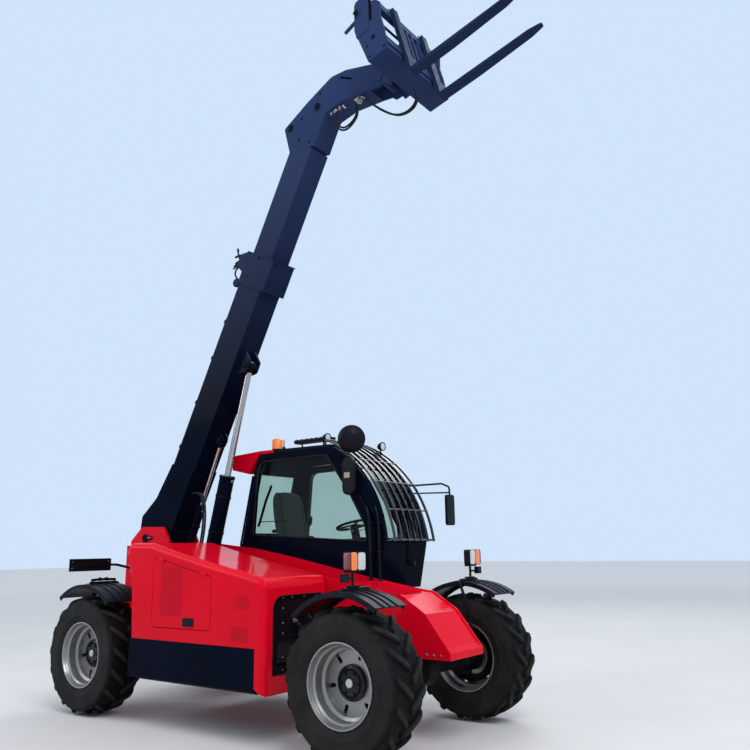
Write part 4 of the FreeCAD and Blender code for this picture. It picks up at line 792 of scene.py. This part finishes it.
def make_head_fittings():
    """The hoses' block under the goose-neck and a row of fittings, each leaning its own way."""
    block = Piece("head_fittings", "zinc", "boom_inner", BOOM)
    for y in HEAD_HOSES_Y:
        block.lathe([(0.012, -0.01), (0.017, 0), (0.017, 0.035), (0.013, 0.04), (0.013, 0.085), (0.01, 0.09)],
                    (5.568, y, -0.69), (-0.25, 0, -1), 6)
    block.block((5.5, -0.11, -0.69), (5.6, -0.025, -0.64), 0.006)
    for s, y, n, lean, swing, size in (
        (5.32, -0.128, -0.392, -0.9, -0.5, 0.9), (5.345, -0.112, -0.418, -0.3, -0.9, 1.1),
        (5.366, -0.13, -0.44, -0.7, 0.2, 0.7), (5.384, -0.104, -0.462, -0.1, -0.6, 1.2),
        (5.404, -0.124, -0.48, -0.8, -0.3, 0.8), (5.426, -0.11, -0.505, -0.4, 0.4, 1.0),
    ):
        block.lathe([(0.01, 0), (0.015, 0.003), (0.015, 0.02), (0.01, 0.024), (0.01, 0.045 * size)],
                    (s, y, n), (lean, swing, -1), 6)
    block.done()


def free_hose(name, knots, sides):
    """A hose that hangs from one body to the next."""
    route = smooth_route(knots, 10)
    hose = Piece(name, "hose_rubber", None, Matrix.Identity(4)).tube(route, HOSE_R, sides).done(60)
    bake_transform(hose)


def make_head_hoses():
    """Hoses that cross the carriage's pivot in one slack loop."""
    for index, y in enumerate(HEAD_HOSES_Y):
        gap = 0.01 * index
        knots = [BOOM @ Vector((s, y, n)) for s, n in (
            (5.555, -0.735), (5.512, -0.86), (5.438 + gap, -1.09), (5.412 + gap, -1.29),
            (5.465 + gap, -1.425 + gap), (5.56, -1.485 + gap), (5.655, -1.462 + gap),
        )]
        knots.append(CARRIAGE @ Vector((0.3, y + 0.01, -0.33 + gap)))
        free_hose(f"head_hose_{index}", knots, 14)


def make_foot_hoses():
    """Hoses from the tower to the boom's underside, slack enough for the boom to drop."""
    for index in (0, 1):
        gap = 0.035 * index
        knots = [MACHINE @ Vector(place) for place in (
            (-1.02 + gap, -0.226, 1.58), (-0.985 + gap, -0.21, 1.8), (-0.985 + gap, -0.2, 2.02),
            (-1.03 + gap, -0.19, 2.2), (-1.12 + gap, -0.17, 2.27), (-1.24, -0.15, 2.26),
        )]
        free_hose(f"foot_hose_{index}", knots, 12)


def make_carriage_details():
    half, eye, up = 0.575, 0.255, 0.105
    bolts = Piece("carriage_bolts", "black_steel", "carriage", CARRIAGE, "dark_paint")
    bolts.bolt_pairs([(a, half, b) for a, b in ((0.16, 0.05), (0.16, -0.08), (0.34, -0.08))], 0.009)
    bolts.lathe_pair([(0.03, 0), (0.03, 0.006), (0.024, 0.01), (0, 0.01)], (0.155, half + 0.03, 0.495), 28)
    bolts.done()
    couplers = Piece("hose_couplers", "zinc", "carriage", CARRIAGE)
    profile = [(0.016, 0), (0.016, 0.02), (0.023, 0.022), (0.023, 0.05), (0.017, 0.052), (0.017, 0.07),
               (0, 0.072)]
    for k in range(3):
        couplers.lathe(profile, (0.365, 0.24 + 0.055 * k, 0.515), UP, 18)
    couplers.done()
    plugs = Piece("lifting_plugs", "black_steel", "carriage", CARRIAGE, "dark_paint")
    plugs.lathe_pair([(0.0176, 0), (0.0176, 0.008), (0.012, 0.01), (0, 0.01)], (eye, 0.552, up), 28)
    for low, high in ((-0.562, -0.553), (0.553, 0.562)):
        plugs.slab([(0.225, 0.235), (0.312, 0.6), (0.352, 0.52), (0.27, 0.215)], "y", low, high)
    plugs.done()
    rings = Piece("lifting_rings", "fork_steel", "carriage", CARRIAGE)
    rings.lathe_pair([(0.0185, 0), (0.0185, 0.004), (0.028, 0.004), (0.03, 0.0005)], (eye, half, up), 28,
                     hoop=True)
    rings.done()
    pins = Piece("fork_pins", "zinc", "carriage", CARRIAGE)
    for y in (-0.275, 0.275):
        pins.lathe([(0.012, 0), (0.012, 0.05), (0.018, 0.052), (0.018, 0.062), (0.01, 0.066), (0, 0.066)],
                   (0.37, y, 0.534), UP, 18)
    pins.done()


# Hood and chassis
def make_hood_details():
    x0, x1, z0, z1 = -0.178, -0.036, 0.937, 1.012
    latch = Piece("hood_latch", "black_plastic", "engine_panel")
    latch.slab(round_box(x0, z0, x1, z1, 0.01), "y", -HOOD_OUT - 0.012, -HOOD_OUT - 0.0005)
    latch.slab(round_box(x0 + 0.03, z0 + 0.018, x1 - 0.03, z1 - 0.014, 0.006), "y",
               -HOOD_OUT - 0.017, -HOOD_OUT - 0.011)
    latch.done()
    for name, body, x0, x1, z0, z1 in (
        ("film_panel", "engine_panel", -0.522, -0.215, 1.025, 1.475),
        ("film_upper", "chassis", 0.522, 0.688, 1.112, 1.225),
        ("film_lower", "chassis", 0.468, 0.673, 0.839, 0.961),
    ):
        film = Piece(name, "decal_film", body)
        film.slab(round_box(x0, z0, x1, z1, 0.006), "y", -HOOD_OUT - 0.0006, -HOOD_OUT - 0.0001, 0.0001)
        film.done()
    y0, y1, z0, z1 = -0.984, -0.346, 0.571, 1.222
    mouth = rounded([(y0, z0, 0.02), (y0, z1, 0.114), (y1, z1, 0.02), (y1, z0, 0.02)], 8)
    trim = Piece("mouth_trim", "rubber_trim")
    trim.tube([(0.866, y, z) for y, z in mouth], 0.006, 8, closed=True).done()


def make_engine_bay():
    """What shows on and behind the arch panel."""
    places = [(-0.835, z) for z in (0.6, 0.703, 0.9, 0.989, 1.113, 1.205)]
    places += [(y, 1.205) for y in (-0.72, -0.56, -0.4)]
    bolts = Piece("arch_bolts", "zinc", slot="black_steel")
    bolts.bolts([(ARCH_FACE + 0.0001, y, z) for y, z in places], AHEAD, 0.007).done()
    cooler = Piece("cooler_face", "engine_iron")
    for k in range(9):
        z = 0.66 + 0.022 * k
        cooler.tube([(0.8, -0.88, z), (0.8, -0.62, z)], 0.006, 8)
    cooler.block((0.77, -0.89, 0.645), (0.792, -0.61, 0.855)).done()
    hoses = Piece("bay_hoses", "hose_rubber")
    for knots in (
        [(0.846, -0.6, 1.06), (0.93, -0.58, 1.05), (0.96, -0.55, 0.94), (0.95, -0.52, 0.78),
         (0.846, -0.5, 0.7)],
        [(0.846, -0.7, 1), (0.9, -0.69, 0.99), (0.93, -0.67, 0.9), (0.9, -0.62, 0.8), (0.82, -0.6, 0.75)],
        [(0.846, -0.46, 1.12), (0.92, -0.45, 1.1), (0.95, -0.44, 0.96), (0.94, -0.42, 0.74),
         (0.85, -0.4, 0.62)],
    ):
        hoses.tube(smooth_route(knots, 7), 0.013)
    hoses.done()
    ports = Piece("bay_fittings", "zinc")
    for y, z in ((-0.6, 1.06), (-0.7, 1), (-0.46, 1.12), (-0.5, 0.7)):
        ports.lathe([(0.021, 0), (0.021, 0.018), (0.017, 0.022), (0.017, 0.04), (0.014, 0.044)],
                    (ARCH_FACE, y, z), AHEAD, 6)
    ports.done()
    pump = Piece("hand_pump", "bronze")
    pump.block((ARCH_FACE + 0.0003, -0.8, 0.6), (0.892, -0.66, 0.7), 0.008)
    pump.lathe([(0.028, 0), (0.028, 0.03), (0.02, 0.036), (0, 0.038)], (0.868, -0.73, 0.698), UP, 24).done()


def make_frame_details():
    y = FRAME_OUT
    bolts = Piece("nose_bolts", "zinc", slot="red_paint")
    bolts.bolt_pairs([(x, y, 0.735) for x in (1.98, 2.05, 2.12)], 0.009)
    bolts.bolt_pairs([(x, y, z) for x in (-2.18, -2.1) for z in (1.45, 1.6)], 0.011)
    bolts.bolt_pairs([(x, y, 0.78) for x in (1.66, 1.79, -1.66, -1.79)], 0.012).done()
    rim = Piece("bracket_rim", "black_steel")
    outline = round_box(-1.095, 1.42, -0.585, 1.545, 0.006, 3)
    rim.tube([(BRACKET_FACE + 0.0023, y, z) for y, z in outline], 0.005, 8, closed=True)
    rim.block((BRACKET_FACE, -1.01, 1.455), (BRACKET_FACE + 0.0078, -0.67, 1.515)).done()
    studs = Piece("bracket_studs", "zinc", slot="black_steel")
    studs.bolts([(BRACKET_FACE, y, z) for y in (-1.065, -0.615) for z in (1.447, 1.518)], AHEAD, 0.006).done()
    plate = Piece("blank_plate", "pale_film")
    plate.slab(round_box(-1.09, 1.425, -0.59, 1.54, 0.008), "x", -2.11, -2.1065, 0.0005).done()


# Cab: outlines of the windows as (x, z, radius)
SIDE_WINDOW = [(-0.705, 1.785, 0.04), (-0.64, 2.61, 0.15), (0.385, 2.61, 0.06), (0.7, 2.19, 0.3),
               (0.9, 1.86, 0.28), (0.93, 1.69, 0.03)]
DOOR_WINDOW = [(-0.535, 1.72, 0.04), (-0.465, 2.52, 0.11), (0.355, 2.53, 0.06), (0.795, 1.85, 0.15),
               (0.8, 1.72, 0.03)]


def make_seals():
    """Rubber seals, the rear one on a wall that leans forward as it rises."""
    sill_x, sill_z, lean = -0.88, 1.676, 0.2251
    seals = Piece("window_seals", "rubber_trim")
    seals.tube([(x, CAB_IN + 0.001, z) for x, z in rounded(SIDE_WINDOW)], 0.009, 8, closed=True)
    rear = round_box(CAB_IN + 0.08, 1.8, CAB_OUT - 0.08, 2.48, 0.02)
    seals.tube([(sill_x + (z - sill_z) * lean - 0.001, y, z) for y, z in rear], 0.009, 8, closed=True)
    seals.done()
    door = Piece("door_seal", "rubber_trim", "cab_door")
    door.tube([(x, CAB_OUT - 0.001, z) for x, z in rounded(DOOR_WINDOW)], 0.009, 8, closed=True)
    door.done()


def make_handles():
    """The door's handle and grab rail, and the pull bars inside the right window."""
    handle = Piece("door_handle", "black_plastic", "cab_door")
    handle.slab(round_box(0.75, 1.585, 0.862, 1.645, 0.012), "y", CAB_OUT + 0.0005, CAB_OUT + 0.017)
    handle.lathe([(0.013, 0), (0.013, 0.006), (0.009, 0.009), (0, 0.009)],
                 (0.84, CAB_OUT + 0.016, 1.615), LEFT, 24).done()
    rail = Piece("grab_rail", "black_steel", "cab_door")
    bends = ((-0.005, 1.33), (0.045, 1.345), (0.05, 1.62), (-0.005, 1.64))
    rail.tube(smooth_route([(-0.5, CAB_OUT + y, z) for y, z in bends], 6), 0.011).done()
    bars = Piece("window_bars", "black_steel")
    bars.tube(smooth_route([(x, CAB_IN + y, z) for x, y, z in (
        (-0.47, 0.048, 2.33), (-0.5, 0.06, 2.28), (-0.56, 0.06, 2.18), (-0.65, 0.06, 1.93),
        (-0.665, 0.048, 1.88))], 6), 0.014, 10)
    bars.tube([(-0.66, CAB_IN + 0.06, 1.93), (-0.19, CAB_IN + 0.06, 1.93)], 0.005, 8)
    bars.lathe([(0.016, 0), (0.03, 0.006), (0.034, 0.022), (0.026, 0.038), (0, 0.042)],
               (-0.413, CAB_IN + 0.055, 1.8), UP, 20).done()


def make_wiper():
    wiper = Piece("wiper", "black_plastic")
    arm = [(1.158, 0.79, 1.47), (1.17, 0.76, 1.56), (1.172, 0.68, 1.7), (1.13, 0.62, 1.86)]
    wiper.tube(smooth_route(arm, 6), 0.008, 8)
    wiper.tube([(1.15, 0.56, 1.78), (1.098, 0.56, 1.92), (1.04, 0.56, 2.06), (0.965, 0.56, 2.2)], 0.007, 8)
    wiper.lathe([(0.028, -0.03), (0.028, 0.022), (0.02, 0.028), (0, 0.028)],
                (1.135, 0.8, 1.46), (1, 0, -0.2), 24).done()


def make_pillar_lines():
    """Two lines clipped along the front pillar, outside the cab."""
    pillar = CAB_IN - 0.035
    lines = Piece("pillar_lines", "hose_rubber")
    for x, radius in ((1.0, 0.015), (1.108, 0.011)):
        y = pillar - radius
        lines.tube(smooth_route([
            (x - 0.055, pillar + 0.005, 2.03), (x - 0.018, y, 1.97), (x, y, 1.88),
            (x + 0.006, y, 1.6), (x + 0.01, y, 1.32), (x + 0.01, y, 1.17),
        ], 5), radius)
        for z in (1.86, 1.58, 1.3):
            lines.block((x - 0.018, y - radius - 0.003, z), (x + 0.03, pillar + 0.001, z + 0.014), 0.002)
    lines.done()


def make_roof_fittings():
    """The ribbed board on the rack, and the antenna."""
    rack = Piece("rack_board", "black_plastic")
    rack.block((-0.205, 0.415, 2.8025), (0.335, 0.525, 2.83), 0.006)
    for k in range(7):
        x = -0.19 + 0.073 * k
        rack.block((x, 0.425, 2.829), (x + 0.04, 0.515, 2.838))
    rack.done()
    antenna = Piece("antenna", "black_plastic")
    antenna.lathe([(0.022, 0), (0.018, 0.02), (0.006, 0.03), (0.004, 0.11), (0, 0.112)],
                  (-0.3, 0.36, 2.7354), UP, 16).done()


def make_lamps():
    front = JOINTS["spin_fr"]
    z0, z1 = front.z + 0.8605, front.z + 1.0035
    for corner in ("fr", "fl"):
        side = CORNERS[corner]
        for kind, inner, outer, back, face in (
            ("amber", 0.014, 0.094, 0.04, 0.0655), ("red", 0.086, 0.1165, 0.002, 0.0635),
            ("white", -0.0955, 0.0055, 0.05, 0.0632),
        ):
            y0, y1 = sorted((side * (WHEEL_Y + inner), side * (WHEEL_Y + outer)))
            shape = Piece(f"{kind}_lens_{corner}", kind + "_lens", "knuckle_" + corner, Matrix.Identity(4))
            shape.slab(round_box(y0, z0, y1, z1, 0.02), "x", front.x + back, front.x + face, 0.004).done()
    roof = Piece("work_lenses", "white_lens")
    for place in ((0.325, 0.371, 2.808), (0.61, 0.9975, 2.745)):
        roof.lathe([(0.0425, 0.0175), (0.0425, 0.0205), (0.03, 0.0245), (0.012, 0.0255), (0, 0.0256)],
                   place, AHEAD, 36)
    roof.done()
    dome = Piece("beacon_dome", "amber_lens")
    dome.lathe([(0.0635, -0.12), (0.064, -0.028), (0.058, -0.01), (0.046, -0.001), (0, 0.0015)],
               (-0.44, 0.4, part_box("roof_lamps")[1].z), UP, 40).done()
    tail = Piece("tail_lenses", "red_lens")
    for y in (-0.37, 0.28):
        tail.slab(round_box(y + 0.008, 1.088, y + 0.082, 1.172, 0.01), "x", -2.3285, -2.3245, 0.001)
    tail.done()


def make_mirrors():
    label = Piece("mirror_label", "pale_film")
    label.slab(round_box(0.7, 2.335, 0.775, 2.392, 0.008), "y", 0.2068, 0.2078, 0.0003).done()
    faces = Piece("mirror_faces", "mirror_glass")
    faces.slab(round_box(1.022, 1.857, 1.146, 2.153, 0.02), "x", 1.4165, 1.4198, 0.0008).done()


# Seat: outlines of the two pads as (x, z)
CUSHION = [(-0.44, 1.575), (-0.45, 1.64), (-0.38, 1.672), (-0.15, 1.662), (0.0, 1.682), (0.045, 1.65),
           (0.04, 1.59), (-0.2, 1.57)]
BACKREST = [(-0.47, 1.66), (-0.55, 1.95), (-0.585, 2.22), (-0.55, 2.275), (-0.5, 2.27), (-0.455, 2.1),
            (-0.4, 1.85), (-0.35, 1.69), (-0.4, 1.65)]
# Share of the way across a pad and the outline's scale there
CROWN = [(0, 0.8), (0.02, 0.9), (0.1, 0.97), (0.3, 1.0), (0.5, 1.02), (0.7, 1.0), (0.9, 0.97),
         (0.98, 0.9), (1, 0.8)]


def make_pad(name, outline, y0, y1):
    """A crowned pad from side y0 to y1 with piping round both ends."""
    middle = Vector((sum(p[0] for p in outline), sum(p[1] for p in outline))) / len(outline)
    rings = []
    for share, scale in CROWN:
        y = y0 + (y1 - y0) * share
        rings.append([(middle.x + (x - middle.x) * scale, y, middle.y + (z - middle.y) * scale)
                      for x, z in outline])
    for ring in (rings[2], rings[-3]):
        centre = sum((Vector(p) for p in ring), Vector()) / len(ring)
        piping = Piece(f"{name}_piping_{int(ring[0][1] * 1000)}", "rubber_trim")
        seam = [centre + (Vector(p) - centre) * 0.985 for p in (*ring, ring[0])]
        piping.tube(smooth_route(seam, 4), 0.007, 8).done()
    pad = Piece(name, "seat_cover").loft(rings).done(70)
    rounding = pad.modifiers.new("rounding", "SUBSURF")
    rounding.levels = rounding.render_levels = 2
    return pad


def make_seat():
    cushion = make_pad("seat_cushion", CUSHION, 0.435, 0.905)
    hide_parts("seat")
    make_pad("seat_back", BACKREST, 0.455, 0.885)
    base = Piece("seat_base", "black_plastic")
    for k in range(6):
        z, fold = 1.3 + 0.04 * k, 0.015 * (k % 2)
        base.block((-0.42 + fold, 0.5 + fold, z), (-0.06 - fold, 0.84 - fold, z + 0.04), 0.006)
    base.block((-0.44, 0.48, 1.2605), (-0.04, 0.86, 1.3), 0.006)
    base.block((-0.44, 0.46, 1.54), (0, 0.88, 1.572), 0.008).done()


def make_controls():
    stick_y = 0.415
    arm = Piece("joystick", "black_plastic")
    arm.block((-0.3, stick_y - 0.03, 1.5), (0.1, stick_y + 0.03, 1.76), 0.012)
    stick = [(0.03, stick_y, 1.75), (0.035, stick_y, 1.84), (0.045, stick_y, 1.88)]
    arm.tube(smooth_route(stick, 5), 0.009, 10)
    arm.lathe([(0.012, 0), (0.024, 0.02), (0.026, 0.07), (0.018, 0.1), (0, 0.105)],
              (0.045, stick_y, 1.87), (0.15, 0, 1), 20).done()
    dash = Piece("dash_panel", "black_plastic")
    dash.slab(round_box(0.5, 1.675, 0.84, 1.735, 0.012), "x", 0.66, 0.8, 0.01).done()
    column_y = 0.67
    levers = Piece("column_levers", "white_lens")
    for reach in (-0.1, 0.1):
        levers.tube([(0.49, column_y + reach * 0.4, 1.8), (0.5, column_y + reach * 1.3, 1.83)], 0.007, 8)
    levers.done()


def make_steps():
    """Studs on both steps, nine along by three across, and the tank's cap."""
    studs = Piece("step_studs", "zinc", slot="dark_paint")
    for z in (0.545, 0.855):
        for i in range(9):
            for k in range(3):
                studs.lathe([(0.009, 0), (0.007, 0.004), (0, 0.004)],
                            (0.29 + 0.054 * i, 0.89 + 0.055 * k, z), UP, 10)
    studs.done()
    cap = Piece("tank_cap", "black_plastic")
    cap.lathe([(0.048, 0), (0.048, 0.012), (0.042, 0.018), (0.042, 0.03), (0.036, 0.034), (0, 0.034)],
              (-0.55, 1.04, 0.98), LEFT, 36).done()


# Studio
def lay_floor():
    bpy.ops.mesh.primitive_plane_add(size=140, location=(0, 0, -0.001))
    floor = bpy.context.object
    floor.name = "floor"
    g = Graph("floor")
    near = g.drift((0.66, 0.66, 0.66), (0.62, 0.62, 0.63), 0.8, 6)
    away = g.length(g.axes["X"], g.axes["Y"])
    g.set(Base_Color=g.mix(g.band(away, 9, 30), near, (0.9, 0.91, 0.93)), Roughness=0.75)
    floor.data.materials.append(g.material)


def set_world():
    """Soft light from all round; the camera, glass and gloss see a bluer sky."""
    world = bpy.data.worlds.new("studio")
    SCENE.world = world
    world.use_nodes = True
    tree = world.node_tree
    ray = tree.nodes.new("ShaderNodeLightPath")
    seen = ray.outputs["Is Camera Ray"]
    for kind in ("Is Glossy Ray", "Is Transmission Ray"):
        either = tree.nodes.new("ShaderNodeMath")
        either.operation = "MAXIMUM"
        tree.links.new(seen, either.inputs[0])
        tree.links.new(ray.outputs[kind], either.inputs[1])
        seen = either.outputs[0]
    blend = tree.nodes.new("ShaderNodeMixShader")
    tree.links.new(seen, blend.inputs[0])
    for index, colour, strength in ((1, (0.84, 0.9, 0.97, 1), 0.72), (2, (0.63, 0.77, 0.96, 1), 1.0)):
        sky = tree.nodes.new("ShaderNodeBackground")
        sky.inputs["Color"].default_value = colour
        sky.inputs["Strength"].default_value = strength
        tree.links.new(sky.outputs[0], blend.inputs[index])
    tree.links.new(blend.outputs[0], tree.nodes["World Output"].inputs["Surface"])


def set_lights():
    for name, place, aim, size, power in (
        ("key", (9, -5, 13), (0, 0, 2), 8, 1300),
        ("fill", (-10, -9, 9), (0, 0, 2), 8, 500),
        ("back", (-2, 10, 12), (0, 0, 3), 8, 600),
    ):
        data = bpy.data.lights.new(name, "AREA")
        data.size = size
        data.energy = power
        lamp = bpy.data.objects.new(name, data)
        lamp.location = place
        lamp.rotation_euler = (Vector(aim) - Vector(place)).to_track_quat("-Z", "Y").to_euler()
        SCENE.collection.objects.link(lamp)


set_camera()
MATERIALS = make_materials()
dress_cad()
for wheel in CORNERS:
    make_tyre(wheel)
    make_wheel_fittings(wheel)
make_boom_pins()
make_boom_details()
make_collar_lines()
for cylinder in CYLINDERS:
    make_cylinder_lines(cylinder)
for wheel in ("rr", "rl"):
    make_fender_clamp(wheel)
make_head_details()
make_head_hoses()
make_foot_hoses()
make_carriage_details()
make_hood_details()
make_engine_bay()
make_frame_details()
make_seals()
make_handles()
make_wiper()
make_pillar_lines()
make_roof_fittings()
make_lamps()
make_mirrors()
make_seat()
make_controls()
make_steps()
lay_floor()
set_world()
set_lights()
SCENE.view_settings.view_transform = "Standard"
